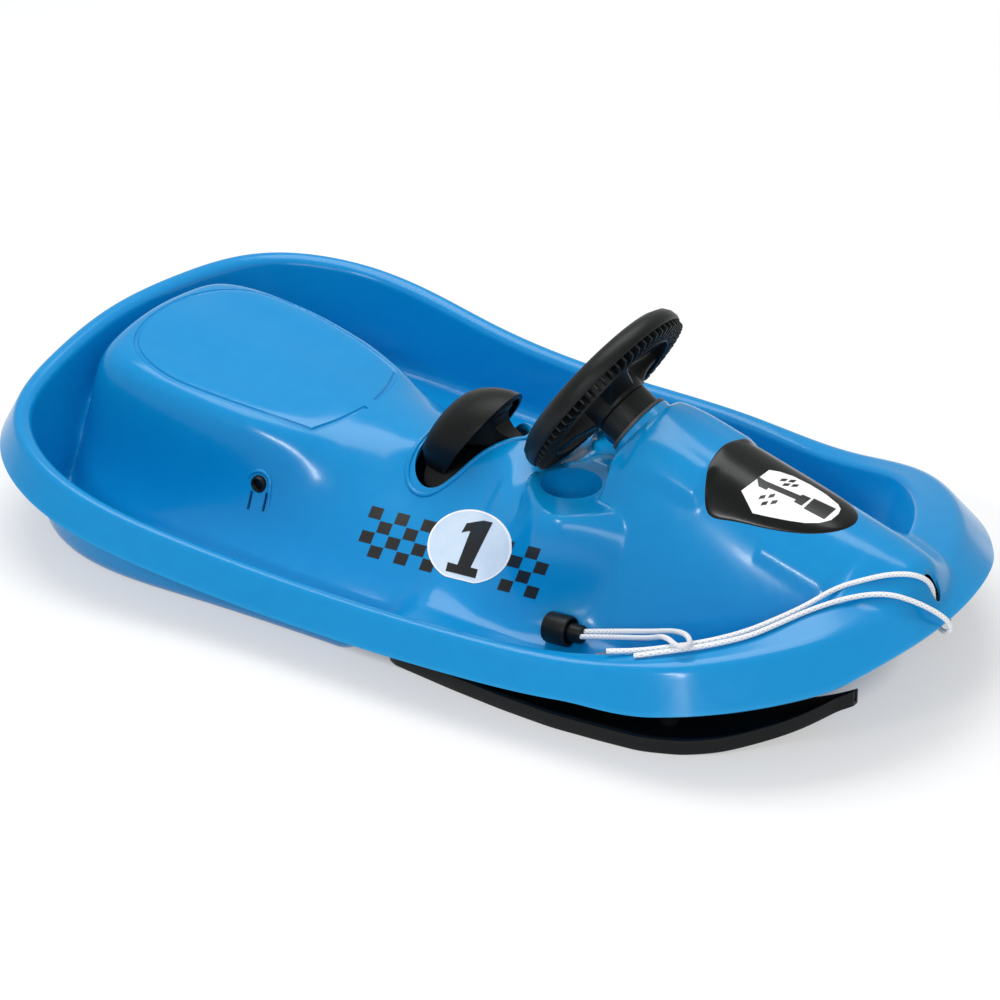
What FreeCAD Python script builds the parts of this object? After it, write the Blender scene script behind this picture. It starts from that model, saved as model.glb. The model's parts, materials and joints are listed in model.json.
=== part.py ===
"""Steering sled: a moulded tub with a seat ridge, steered by a wheel that turns two front skis.

Millimetres. +X points to the nose, +Y to the rider's left, +Z up.
The origin is on the ground, under the middle of the hull.
"""
import FreeCAD, Part
import math
import os
import Sketcher
from FreeCAD import Placement, Rotation, Vector

doc = FreeCAD.newDocument("steering_sled")
sheet = doc.addObject("Spreadsheet::Sheet", "sizes")

SIZES = [
    # hull
    ("tub_length", 887), ("tub_width", 512), ("rear_rim_height", 132), ("wall", 4),
    ("side_flange", 14), ("front_flange", 45), ("side_flare", 18), ("front_flare", 36), ("skirt_drop", 28),
    ("side_rise", 7), ("front_rise", -7), ("rim_inner_radius", 5), ("rim_outer_radius", 9),
    ("step_place", 6), ("front_floor_height", 27), ("cut_over", 60),
    ("ridge_height", 152), ("ridge_half_width", 164), ("hood_height", 217), ("hood_half_width", 152),
    ("opening_radius", 25), ("opening_tip_radius", 12),
    ("cup_radius", 29.5), ("cup_depth", 26), ("cup_place", 115), ("cup_offset", 57), ("cup_height", 144), ("cup_ring_radius", 38.5),
    ("cover_rear", 257), ("cover_front", 387), ("cover_half", 52), ("cover_thickness", 3),
    # steering column
    ("wheel_place", 113), ("wheel_height", 220), ("column_slope", 32),
    ("collar_reach", 49.5), ("collar_length", 60), ("collar_radius", 33.5), ("collar_step", 6),
    ("running_gap", 0.05), ("seat_gap", 0.3),
    ("stem_radius", 27.5), ("stem_length", 44), ("shoulder_radius", 29), ("spigot_radius", 24), ("spigot_length", 14),
    ("shaft_radius", 11), ("column_length", 268.5),
    ("bush_wall", 2.5), ("bush_length", 40), ("bush_flange_radius", 33), ("bush_flange", 3),
    ("lower_bush_radius", 17), ("lower_bush_length", 14), ("lower_bush_place", 207), ("web_thickness", 8),
    ("web_half", 95), ("web_below", 30), ("ring_radius", 16), ("ring_width", 5),
    ("crank_arm", 71.3), ("crank_thickness", 7), ("crank_eye_radius", 19), ("crank_plate", 44),
    ("crank_end_radius", 8), ("crank_neck_radius", 3.5), ("crank_ball_radius", 6),
    ("screw_radius", 4), ("screw_head_radius", 8), ("screw_head", 4), ("screw_depth", 18), ("crank_screw_head_radius", 13),
    # steering wheel
    ("wheel_radius", 97), ("rim_section_radius", 12), ("channel_half", 6.5), ("channel_top", 3),
    ("hub_radius", 31), ("hub_depth", 26), ("hub_rise", 2), ("spoke_width", 26), ("spoke_thickness", 9),
    ("wheel_rib", 2), ("wheel_cap_radius", 24), ("wheel_cap_height", 5),
    # skis
    ("ski_rear", 34), ("ski_front", 452), ("ski_outer", 246), ("ski_inner", 106), ("ski_base", 4),
    ("ski_edge_height", 16), ("ski_edge_wall", 5), ("ski_tip_rise", 60), ("ski_tip_start", 308),
    ("ski_tip_offset", 124), ("ski_tip_taper", 52), ("ski_tip_radius", 8), ("ski_rear_radius", 55),
    ("ski_bow_radius", 112), ("ski_taper_radius", 40), ("ski_rib", 4), ("ski_rib_height", 9), ("ski_rib_offset", 40),
    ("kingpin_offset", 172), ("kingpin_radius", 6), ("kingpin_head_radius", 12), ("kingpin_head", 3),
    ("turret_radius", 19), ("steer_pin_radius", 5), ("steer_pin_height", 24.5),
    ("nut_radius", 10), ("nut_height", 9), ("washer_radius", 14), ("washer_thickness", 2),
    ("kingpin_bush_radius", 10), ("kingpin_boss_radius", 18), ("kingpin_boss_height", 8), ("pin_over", 2),
    # tie rod
    ("tie_thickness", 5), ("tie_width", 22), ("tie_height", 17.5), ("tie_eye_radius", 17), ("tie_block_half", 22),
    ("tie_block_rear", 14), ("tie_block_front", 18), ("tie_block_low", 12), ("tie_block_high", 27),
    ("slot_gap", 0.5), ("pin_slot_travel", 7), ("ball_slot_front", 5),
    # brake
    ("axle_place", -212), ("axle_height", 68), ("axle_radius", 5), ("axle_half", 108),
    ("axle_cap_radius", 8.5), ("axle_cap_inner", 97), ("axle_cap_outer", 114), ("axle_boss_radius", 13),
    ("lever_hub_radius", 12), ("lever_hub_half", 96.7), ("lever_width", 46), ("lever_low", 62), ("lever_thickness", 10),
    ("neck_rear", -46), ("neck_front", -34), ("neck_width", 40), ("neck_top", 116), ("arm_width", 16), ("arm_reach", 84),
    ("arm_offset", 52),
    ("opening_rear", -76), ("opening_front", 34), ("opening_half", 88),
    ("handle_rear", -63), ("handle_length", 84), ("handle_half", 52), ("handle_top", 179), ("handle_foot", 88),
    ("handle_wall", 5), ("handle_screw_radius", 2.5), ("handle_screw_head_radius", 5), ("handle_screw_head", 3),
    ("handle_screw_spread", 10), ("claw_thickness", 3), ("claw_width", 14), ("claw_plate", 46), ("claw_clear", 10),
    ("rivet_radius", 3), ("rivet_head_radius", 5.5), ("rivet_head", 2), ("rivet_place", 14),
    # tow rope
    ("rope_diameter", 5), ("rope_hole_place", 477), ("rope_hole_radius", 8),
    ("toggle_length", 40), ("toggle_wide", 15), ("toggle_narrow", 9),
]

for row, (alias, value) in enumerate(SIZES, start=1):
    sheet.set(f"A{row}", alias)
    sheet.set(f"B{row}", str(value))
    sheet.setAlias(f"B{row}", alias)
doc.recompute()


def size(alias):
    return float(sheet.get(alias))


WALL = size("wall")
OVER = size("cut_over")
REAR_RIM = size("side_flange") + size("side_flare")
OVERALL = size("tub_length") + REAR_RIM + size("front_flange") + size("front_flare")
TUB_REAR = REAR_RIM - OVERALL / 2
HALF = size("tub_width") / 2

# Inner edge of the rim, from the middle of the rear to the middle of the bow:
# along the tub, half width and height.
RIM_SHARES = [
    (0.000, 0.000, 1.000), (0.009, 0.400, 0.965), (0.044, 0.781, 0.886), (0.139, 0.992, 0.765), (0.301, 1.000, 0.591),
    (0.503, 0.969, 0.530), (0.666, 0.945, 0.561), (0.813, 0.844, 0.636), (0.905, 0.730, 0.803),
    (0.966, 0.496, 0.902), (0.991, 0.281, 0.939), (1.000, 0.000, 0.955),
]
SIDE_DRAFT_SHARE = 0.14
BOW_RAKE_SHARE = 0.58
BOW_START_SHARE = 0.80
DECK_START_SHARE = 0.60
RIM_STATIONS = 36
CORNER_POINTS = 3
HUMP_STATIONS = 20
HUMP_POINTS = 13

# Seat ridge and console, sections along X: place along the tub, top height, half width of the top,
# fall of the shoulder, half width and height of the waist, half width of the foot.
RIDGE_SHARES = [
    (0.018, 0.737, 0.335, 0.145, 0.518, 0.395, 0.683), (0.041, 0.961, 0.476, 0.092, 0.659, 0.461, 0.823),
    (0.077, 0.993, 0.579, 0.053, 0.744, 0.474, 0.915), (0.167, 0.941, 0.628, 0.039, 0.780, 0.461, 0.951),
    (0.257, 0.875, 0.579, 0.039, 0.744, 0.434, 0.963), (0.313, 0.829, 0.500, 0.053, 0.707, 0.434, 0.976),
    (0.359, 0.789, 0.427, 0.092, 0.671, 0.421, 0.988), (0.415, 0.776, 0.354, 0.132, 0.634, 0.408, 1.000),
    (0.483, 0.842, 0.317, 0.197, 0.598, 0.408, 1.000), (0.550, 0.947, 0.335, 0.211, 0.640, 0.447, 1.000),
    (0.573, 0.925, 0.370, 0.130, 0.665, 0.480, 1.000), (0.597, 0.862, 0.430, 0.060, 0.700, 0.515, 1.000),
    (0.616, 0.862, 0.510, 0.046, 0.740, 0.545, 1.000), (0.641, 0.945, 0.620, 0.036, 0.790, 0.572, 1.000),
    (0.663, 0.985, 0.683, 0.030, 0.817, 0.592, 1.000), (0.691, 0.993, 0.671, 0.033, 0.793, 0.579, 0.988),
    (0.731, 0.967, 0.537, 0.059, 0.695, 0.526, 0.957), (0.776, 0.908, 0.378, 0.092, 0.573, 0.474, 0.902),
    (0.823, 0.776, 0.256, 0.105, 0.439, 0.395, 0.805),
]
# Hood, in the same terms.
HOOD_SHARES = [
    (0.692, 1.02, 0.22, 0.080, 0.43, 0.70, 0.98), (0.742, 1.00, 0.28, 0.085, 0.55, 0.60, 1.00),
    (0.815, 0.91, 0.33, 0.100, 0.60, 0.53, 0.95), (0.888, 0.825, 0.33, 0.092, 0.58, 0.50, 0.86),
    (0.962, 0.75, 0.29, 0.075, 0.49, 0.51, 0.71), (1.024, 0.69, 0.22, 0.055, 0.37, 0.52, 0.55),
    (1.058, 0.645, 0.15, 0.045, 0.26, 0.51, 0.40), (1.071, 0.58, 0.08, 0.030, 0.15, 0.49, 0.25),
]
SHOULDER_SHARE = 0.62
SHOULDER_FALL_SHARE = 0.30


def smooth(value):
    value = min(max(value, 0.0), 1.0)
    return value * value * (3 - 2 * value)


def between(start, end, share):
    return start + (end - start) * share


def round_corner(before, corner, after, reach):
    """Points of a smooth curve that replaces a corner, starting and ending the given reach from it."""
    corner = Vector(*corner, 0)
    start = corner + (Vector(*before, 0) - corner).normalize() * reach
    end = corner + (Vector(*after, 0) - corner).normalize() * reach
    curve = Part.BezierCurve()
    curve.setPoles([start, corner, end])
    return [(p.x, p.y) for p in curve.toShape().discretize(Number=CORNER_POINTS)]


def rim_curve():
    half = [Vector(TUB_REAR + a * size("tub_length"), b * HALF, c * size("rear_rim_height"))
            for a, b, c in RIM_SHARES]
    mirrored = [Vector(p.x, -p.y, p.z) for p in reversed(half[1:-1])]
    curve = Part.BSplineCurve()
    curve.interpolate(Points=half + mirrored, PeriodicFlag=True)
    return curve


def rim_stations():
    """Rim points with the outward direction, the flange's width and the wall's slope at each."""
    curve = rim_curve()
    points = curve.toShape().discretize(Number=RIM_STATIONS + 1)[:-1]
    stations = []
    for point in points:
        along = curve.tangent(curve.parameter(point))[0]
        outward = Vector(along.y, -along.x, 0)
        outward.normalize()
        if outward.dot(Vector(point.x, point.y, 0)) < 0:
            outward = -outward
        share = (point.x - TUB_REAR) / size("tub_length")
        deck = (max(share - DECK_START_SHARE, 0) / (1 - DECK_START_SHARE)) ** 2
        flange = between(size("side_flange"), size("front_flange"), deck)
        flare = between(size("side_flare"), size("front_flare"), deck)
        rise = between(size("side_rise"), size("front_rise"), deck)
        slope = between(SIDE_DRAFT_SHARE, BOW_RAKE_SHARE,
                        smooth((share - BOW_START_SHARE) / (1 - BOW_START_SHARE)))
        stations.append((point, outward, flange, flare, rise, slope))
    return stations


def rim_section(point, outward, flange, flare, rise, slope):
    """Closed section of wall, rim and skirt at one station, with rounded rim edges."""
    top = point.z
    crest, low = top + rise, top - size("skirt_drop")
    lean = math.hypot(1, slope) * WALL
    steep = (crest - low) / flare
    skirt_wall = WALL * math.hypot(1, steep) / steep
    inner, outer = size("rim_inner_radius"), size("rim_outer_radius")
    turn = round_corner((-slope * top, 0), (0, top), (flange, crest), inner)
    turn += round_corner((0, top), (flange, crest), (flange + flare, low), outer)
    profile = [(-slope * top, 0)] + turn
    profile += [(flange + flare, low), (flange + flare - skirt_wall, low), (flange - WALL / 2, crest - WALL),
                (lean, top - WALL), (lean - slope * top, 0)]
    points = [Vector(point.x + outward.x * u, point.y + outward.y * u, z) for u, z in profile]
    return Part.makePolygon(points + points[:1])


def level_outline(stations, height):
    """Plan outline in the middle of the tub wall, at half a wall above one height."""
    points = []
    for point, outward, _, _, _, slope in stations:
        reach = math.hypot(1, slope) * WALL / 2 - slope * (point.z - height - WALL / 2)
        points.append(Vector(point.x + outward.x * reach, point.y + outward.y * reach, height))
    return Part.Face(Part.makePolygon(points + points[:1]))


def through(rows, place):
    """Values at one place on smooth curves through the rows, whose first column is the place."""
    last = len(rows) - 1
    i = min(max(sum(row[0] <= place for row in rows) - 1, 0), last - 1)
    before, start, end, after = rows[max(i - 1, 0)], rows[i], rows[i + 1], rows[min(i + 2, last)]
    span = end[0] - start[0]
    share = (place - start[0]) / span
    values = []
    for k in range(1, len(start)):
        leave = (end[k] - before[k]) / (end[0] - before[0]) * span
        arrive = (after[k] - start[k]) / (after[0] - start[0]) * span
        turn = end[k] - start[k]
        values.append(start[k] + share * (leave + share * (3 * turn - 2 * leave - arrive
                                                           + share * (leave + arrive - 2 * turn))))
    return values


def hump(shares, height, half_width, inset):
    """Solid through arched sections along X, its skin moved in by the inset."""
    wires = []
    first, last = shares[0][0], shares[-1][0]
    for i in range(HUMP_STATIONS + 1):
        share = i / HUMP_STATIONS
        place = between(first, last, share)
        top, top_half, fall, waist_half, waist, foot_half = through(shares, place)
        x = TUB_REAR + place * size("tub_length") + inset * (1 - 2 * share)
        crown = top * height - inset
        half = [
            (0, crown),
            (SHOULDER_SHARE * top_half * half_width - inset / 2, crown - SHOULDER_FALL_SHARE * fall * height),
            (top_half * half_width - inset, crown - fall * height),
            (waist_half * half_width - inset, waist * height),
            (foot_half * half_width - inset, WALL / 2 - inset),
        ]
        curve = Part.BSplineCurve()
        curve.interpolate(Points=[Vector(x, -y, z) for y, z in reversed(half)]
                          + [Vector(x, y, z) for y, z in half[1:]])
        points = curve.toShape().discretize(Number=HUMP_POINTS)
        wires.append(Part.makePolygon(points + points[:1]))
    return Part.makeLoft(wires, True, True)


def slab(x_low, x_high, y_half, z_low, z_high):
    return Part.makeBox(x_high - x_low, 2 * y_half, z_high - z_low, Vector(x_low, -y_half, z_low))


AXIS = Vector(math.cos(math.radians(size("column_slope"))), 0, -math.sin(math.radians(size("column_slope"))))
WHEEL_CENTRE = Vector(size("wheel_place"), 0, size("wheel_height"))


def on_column(distance):
    return WHEEL_CENTRE + AXIS * distance


def rounded_wire(corners, height):
    """Closed plan outline through corner points, each with its own radius."""
    count = len(corners)
    legs = []
    for i, (x, y, radius) in enumerate(corners):
        here = Vector(x, y, height)
        before = Vector(*corners[i - 1][:2], height) - here
        after = Vector(*corners[(i + 1) % count][:2], height) - here
        before.normalize()
        after.normalize()
        half_turn = before.getAngle(after) / 2
        reach = radius / math.tan(half_turn)
        middle = before + after
        middle.normalize()
        middle = here + middle * (radius / math.sin(half_turn) - radius)
        legs.append((here + before * reach, middle, here + after * reach))
    edges = []
    for i, (start, middle, end) in enumerate(legs):
        edges.append(Part.Arc(start, middle, end).toShape())
        following = legs[(i + 1) % count][0]
        if end.distanceToPoint(following) > size("running_gap"):
            edges.append(Part.LineSegment(end, following).toShape())
    return Part.Wire(edges)


def prism(corners, low, high):
    return Part.Face(rounded_wire(corners, low)).extrude(Vector(0, 0, high - low))


TILT = Rotation(Vector(0, 1, 0), size("column_slope") - 90)


def on_axis(distance):
    """Placement on the steering axis, its Z pointing back to the rider."""
    return Placement(on_column(distance), TILT)


def axis_cylinder(radius, start, end):
    shape = Part.makeCylinder(radius, end - start)
    shape.Placement = on_axis(end)
    return shape


def axis_box(start, end, y_half, below, above):
    shape = Part.makeBox(below + above, 2 * y_half, end - start, Vector(-below, -y_half, 0))
    shape.Placement = on_axis(end)
    return shape


def opening_corners():
    rear, half, radius = size("opening_rear"), size("opening_half"), size("opening_radius")
    return [(rear, -half, radius), (size("opening_front"), 0, size("opening_tip_radius")), (rear, half, radius)]


def ridge(inset):
    return hump(RIDGE_SHARES, size("ridge_height"), size("ridge_half_width"), inset)


def hood(inset):
    return hump(HOOD_SHARES, size("hood_height"), size("hood_half_width"), inset)


def upright(radius, x, y, low, high):
    return Part.makeCylinder(radius, high - low, Vector(x, y, low))


def crosswise(radius, x, z, y_low, y_high):
    return Part.makeCylinder(radius, y_high - y_low, Vector(x, y_low, z), Vector(0, 1, 0))


BALL = on_column(size("column_length") - size("crank_thickness") / 2) + TILT.multVec(Vector(-size("crank_arm"), 0, 0))
KINGPIN_X = BALL.x - size("crank_arm")
FLOOR_TOP = size("front_floor_height") + WALL
STEER_PIN_X = KINGPIN_X - size("crank_arm")
RIVET_X = size("axle_place") - size("arm_reach") + size("rivet_place")
HANDLE_SCREW_Z = size("neck_top") - size("lever_thickness")
HANDLE_SCREW_END = size("neck_rear") - size("handle_screw_spread")
STEM_END = "-sizes.collar_reach - sizes.stem_length"
SHOULDER_LOW = "-sizes.collar_reach + sizes.bush_flange + sizes.seat_gap"
SPOKES = 3
WHEEL_RIBS = 36
SKI_STEPS = 4
CLAW_TAPER_SHARE = 0.45
HANDLE_MID_SHARE = 0.6
HANDLE_BULGE_SHARE = 0.92
HANDLE_FOOT_SHARE = 0.78
TOGGLE_WAIST_SHARE = 0.35
ARC_SHARE = 0.45
# Outline of the nose cover: along its length and half width.
COVER_SHARES = [(0, 0), (0.03, 0.62), (0.14, 1.0), (0.42, 0.88), (0.70, 0.55), (0.90, 0.24), (1, 0)]
# Scoop of the brake handle: along its length, height and half width.
HANDLE_SHARES = [(0, 0.30, 0.62), (0.095, 0.58, 0.84), (0.27, 0.80, 0.97), (0.51, 0.93, 1.0), (0.75, 0.99, 0.97),
                 (1.0, 1.0, 0.88)]
# Tow rope: from a loose end on the rim along the deck to the nose, down the hole, round the skirt and back.
ROUTE_TUB_LENGTH = 887
ROPE_SCALE = size("tub_length") / ROUTE_TUB_LENGTH
ROPE_ROUTE = [
    (262, -222, 92), (284, -211, 94), (312, -203, 103), (345, -184, 111), (369, -158, 116),
    (384, -131, 120), (398, -96, 123), (409, -62, 129), (431, -44, 137), (451, -31, 143), (470, -18, 142),
    (479, -4, 128), (479, 0, 104), (485, -3, 86), (497, -9, 83), (507, -14, 94), (501, -17, 106), (479, -30, 121),
    (454, -46, 131), (426, -66, 127), (405, -102, 124), (391, -137, 121), (377, -164, 117), (350, -191, 112),
    (318, -209, 104), (291, -220, 96),
]
LOOP_ROUTE = [
    (186, -149, 50), (236, -152, 69), (275, -160, 86), (304, -174, 104), (328, -189, 116), (341, -203, 117),
    (332, -211, 114), (308, -194, 110), (276, -170, 84), (236, -159, 66), (186, -156, 48),
]
TOGGLE_PLACE = (152, -152, 46)
TOGGLE_TILT = 85


def hull_shape():
    stations = rim_stations()
    tub = Part.makeLoft([rim_section(*station) for station in stations], True, True, True)
    far, step, rise = OVERALL, size("step_place"), size("front_floor_height")
    rear_floor = level_outline(stations, 0).extrude(Vector(0, 0, WALL))
    rear_floor = rear_floor.common(slab(-far, step, far, -OVER, OVER))
    front_floor = level_outline(stations, rise).extrude(Vector(0, 0, WALL))
    front_floor = front_floor.common(slab(step - WALL, far, far, -OVER, far))
    riser = level_outline(stations, 0).extrude(Vector(0, 0, rise + WALL))
    riser = riser.common(slab(step - WALL, step, far, -OVER, far))
    tub = tub.fuse([rear_floor, front_floor, riser])

    # Space ahead of the raked bow wall and under the deck, where the hood has no sides.
    bow = TUB_REAR + size("tub_length") + WALL / 2
    deck = RIM_SHARES[-1][2] * size("rear_rim_height") - WALL
    under = [Vector(bow - BOW_RAKE_SHARE * deck, -far, 0), Vector(bow, -far, deck), Vector(far, -far, deck),
             Vector(far, -far, -OVER), Vector(bow - BOW_RAKE_SHARE * deck, -far, -OVER)]
    under = Part.Face(Part.makePolygon(under + under[:1])).extrude(Vector(0, 2 * far, 0))
    face = size("collar_reach") + size("collar_step")
    behind = axis_box(-far, face, far, far, far)
    behind_wall = axis_box(-far, face + WALL, far, far, far)
    outer_hood = hood(0)
    skin = ridge(0).fuse([outer_hood.cut(under).cut(behind)])
    inside_hood = hood(WALL).cut(behind_wall)

    web_mid = size("lower_bush_place") + size("lower_bush_length") / 2
    web = axis_box(web_mid - size("web_thickness") / 2, web_mid + size("web_thickness") / 2, size("web_half"),
                   size("web_below"), far).common(outer_hood)
    cups, pockets = [], []
    for side in (-1, 1):
        place, offset, mouth = size("cup_place"), side * size("cup_offset"), size("cup_height")
        floor = mouth - size("cup_depth")
        ring = upright(size("cup_ring_radius"), place, offset, floor, mouth)
        ring = ring.cut(upright(size("cup_ring_radius") - WALL, place, offset, floor, mouth - WALL))
        cups.append(upright(size("cup_radius") + WALL, place, offset, floor - WALL, mouth).fuse(ring))
        pockets.append(upright(size("cup_radius"), place, offset, floor, mouth + OVER))
        pockets.append(upright(size("cup_ring_radius"), place, offset, mouth, mouth + OVER))
    bosses, holes = [], []
    for side in (-1, 1):
        offset = side * size("kingpin_offset")
        top = FLOOR_TOP + size("kingpin_boss_height")
        bosses.append(upright(size("kingpin_boss_radius"), KINGPIN_X, offset, rise, top))
        holes.append(upright(size("kingpin_bush_radius"), KINGPIN_X, offset, 0, far))
    inner, outer = size("axle_cap_inner"), size("axle_cap_outer") + OVER
    for low, high in ((-outer, -inner), (inner, outer)):
        boss = crosswise(size("axle_boss_radius"), size("axle_place"), size("axle_height"), low, high)
        bosses.append(boss.common(ridge(0)))
        holes.append(crosswise(size("axle_cap_radius"), size("axle_place"), size("axle_height"), low, high))
    collar = axis_cylinder(size("collar_radius"), size("collar_reach"), size("collar_reach") + size("collar_length"))
    bore = size("stem_radius") + size("bush_wall") + size("running_gap")
    holes.append(axis_cylinder(bore, 0, size("collar_reach") + size("collar_length") + WALL))
    holes.append(axis_cylinder(size("lower_bush_radius"), web_mid - OVER, web_mid + OVER))
    holes.append(upright(size("rope_hole_radius"), size("rope_hole_place"), 0, 0, far))

    shape = tub.fuse(skin).cut(slab(step, far, far, -OVER, rise))
    shape = shape.cut(ridge(WALL).fuse(inside_hood))
    shape = shape.fuse([web, collar] + cups + bosses)
    return shape.cut(prism(opening_corners(), 0, far)).cut(Part.Compound(pockets)).cut(Part.Compound(holes))


def add_shape(label, shape):
    """Document object for a form that only code can draw."""
    feature = doc.addObject("Part::Feature", label)
    feature.Shape = shape
    return feature


def on_plane(body, role, name, offset="0"):
    """Sketch on one of the body's own planes, moved along its normal by an expression."""
    sketch = body.newObject("Sketcher::SketchObject", name)
    origin = next(f for f in body.Origin.OriginFeatures if f.Role == role)
    sketch.AttachmentSupport = [(origin, "")]
    sketch.MapMode = "FlatFace"
    sketch.setExpression("AttachmentOffset.Base.z", offset)
    return sketch


def add_circle(sketch, radius):
    """Circle about the sketch's origin, its radius bound to an expression."""
    index = sketch.addGeometry(Part.Circle(Vector(0, 0, 0), Vector(0, 0, 1), 1))
    sketch.addConstraint(Sketcher.Constraint("Coincident", index, 3, -1, 1))
    constraint = sketch.addConstraint(Sketcher.Constraint("Radius", index, 1))
    sketch.setExpression(f"Constraints[{constraint}]", radius)


def turned(label, steps, bores=(), placement=Placement()):
    """Body of round steps along Z and round bores; each is radius, start and length in expressions."""
    body = doc.addObject("PartDesign::Body", label)
    for i, (radius, start, length) in enumerate(steps):
        sketch = on_plane(body, "XY_Plane", f"{label}_step_{i}", start)
        add_circle(sketch, radius)
        pad = body.newObject("PartDesign::Pad", f"{label}_pad_{i}")
        pad.Profile = sketch
        pad.setExpression("Length", length)
    for i, (radius, start, length) in enumerate(bores):
        sketch = on_plane(body, "XY_Plane", f"{label}_bore_{i}", start)
        add_circle(sketch, radius)
        pocket = body.newObject("PartDesign::Pocket", f"{label}_pocket_{i}")
        pocket.Profile = sketch
        pocket.Reversed = True
        pocket.setExpression("Length", length)
    body.Placement = placement
    return body


def polygon(sketch, points):
    ends = points[1:] + points[:1]
    for start, end in zip(points, ends):
        sketch.addGeometry(Part.LineSegment(Vector(*start, 0), Vector(*end, 0)))


def padded(body, sketch, length):
    pad = body.newObject("PartDesign::Pad", sketch.Name + "_pad")
    pad.Profile = sketch
    pad.setExpression("Length", length)
    return pad


def mirrored(label, source):
    mirror = doc.addObject("Part::Mirroring", label)
    mirror.Source = source
    mirror.Normal = (0, 1, 0)
    return mirror


def pair(label, source):
    """One node with a piece and its mirror image on the other side."""
    both = doc.addObject("Part::Compound", label)
    both.Links = [source, mirrored(label + "_mirror", source)]
    return both


def make_steering_wheel():
    body = doc.addObject("PartDesign::Body", "steering_wheel")
    middle = size("wheel_radius") - size("rim_section_radius")
    sketch = on_plane(body, "XZ_Plane", "wheel_rim")
    circle = sketch.addGeometry(Part.Circle(Vector(middle, 0, 0), Vector(0, 0, 1), 1))
    sketch.addConstraint(Sketcher.Constraint("PointOnObject", circle, 3, -1))
    radius = sketch.addConstraint(Sketcher.Constraint("Radius", circle, 1))
    reach = sketch.addConstraint(Sketcher.Constraint("DistanceX", -1, 1, circle, 3, middle))
    sketch.setExpression(f"Constraints[{radius}]", "sizes.rim_section_radius")
    sketch.setExpression(f"Constraints[{reach}]", "sizes.wheel_radius - sizes.rim_section_radius")
    rim = body.newObject("PartDesign::Revolution", "wheel_rim_ring")
    rim.Profile = sketch
    rim.ReferenceAxis = (sketch, ["V_Axis"])
    hub = on_plane(body, "XY_Plane", "wheel_hub", "-sizes.hub_depth")
    add_circle(hub, "sizes.hub_radius")
    padded(body, hub, "sizes.hub_depth + sizes.hub_rise")
    spoke = on_plane(body, "XY_Plane", "wheel_spoke", "-sizes.spoke_thickness")
    half = size("spoke_width") / 2
    polygon(spoke, [(0, -half), (middle, -half), (middle, half), (0, half)])
    spoke_pad = padded(body, spoke, "sizes.spoke_thickness")
    spokes = body.newObject("PartDesign::PolarPattern", "wheel_spokes")
    spokes.Originals = [spoke_pad]
    spokes.Axis = (hub, ["N_Axis"])
    spokes.Occurrences = SPOKES
    channel = on_plane(body, "XZ_Plane", "wheel_channel")
    low, high, side = -size("rim_section_radius") - OVER, size("channel_top"), size("channel_half")
    polygon(channel, [(middle - side, low), (middle + side, low), (middle + side, high), (middle - side, high)])
    groove = body.newObject("PartDesign::Groove", "wheel_rim_channel")
    groove.Profile = channel
    groove.ReferenceAxis = (channel, ["V_Axis"])
    rib = on_plane(body, "XY_Plane", "wheel_rib", "-sizes.spoke_thickness")
    half, reach = size("wheel_rib") / 2, side + size("wheel_rib")
    polygon(rib, [(middle - reach, -half), (middle + reach, -half), (middle + reach, half), (middle - reach, half)])
    rib_pad = padded(body, rib, "sizes.spoke_thickness + sizes.channel_top + sizes.wheel_rib")
    ribs = body.newObject("PartDesign::PolarPattern", "wheel_ribs")
    ribs.Originals = [rib_pad]
    ribs.Axis = (hub, ["N_Axis"])
    ribs.Occurrences = WHEEL_RIBS
    bores = [("sizes.spigot_radius", "-sizes.hub_depth", "sizes.spigot_length"),
             ("sizes.screw_radius", "-sizes.hub_depth", "sizes.hub_depth + sizes.hub_rise"),
             ("sizes.screw_head_radius", "sizes.hub_rise - sizes.screw_head", "sizes.screw_head")]
    for i, (radius, start, length) in enumerate(bores):
        sketch = on_plane(body, "XY_Plane", f"wheel_bore_{i}", start)
        add_circle(sketch, radius)
        pocket = body.newObject("PartDesign::Pocket", f"wheel_pocket_{i}")
        pocket.Profile = sketch
        pocket.Reversed = True
        pocket.setExpression("Length", length)
    body.Placement = on_axis(0)
    return body


def make_crank():
    """Crank plate on the column's end, with a ball that drives the tie rod."""
    thick = size("crank_thickness")
    plate = Part.makeCylinder(size("crank_eye_radius"), thick)
    end = Part.makeCylinder(size("crank_end_radius"), thick, Vector(-size("crank_plate"), 0, 0))
    eye, tip, reach = size("crank_eye_radius"), size("crank_end_radius"), size("crank_plate")
    sides = [Vector(0, -eye, 0), Vector(0, eye, 0), Vector(-reach, tip, 0), Vector(-reach, -tip, 0)]
    arm = Part.Face(Part.makePolygon(sides + sides[:1])).extrude(Vector(0, 0, thick))
    neck = Part.makeCylinder(size("crank_neck_radius"), size("crank_arm") - reach, Vector(-reach, 0, thick / 2),
                             Vector(-1, 0, 0))
    ball = Part.makeSphere(size("crank_ball_radius"), Vector(-size("crank_arm"), 0, thick / 2))
    shape = plate.fuse([end, arm, neck, ball]).removeSplitter()
    shape = shape.cut(Part.makeCylinder(size("shaft_radius"), thick))
    crank = add_shape("crank_arm", shape)
    crank.Placement = on_axis(size("column_length"))
    return crank


def ski_height(x):
    run = (x - size("ski_tip_start")) / (size("ski_front") - size("ski_tip_start"))
    return size("ski_tip_rise") * max(run, 0) ** 2


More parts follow.
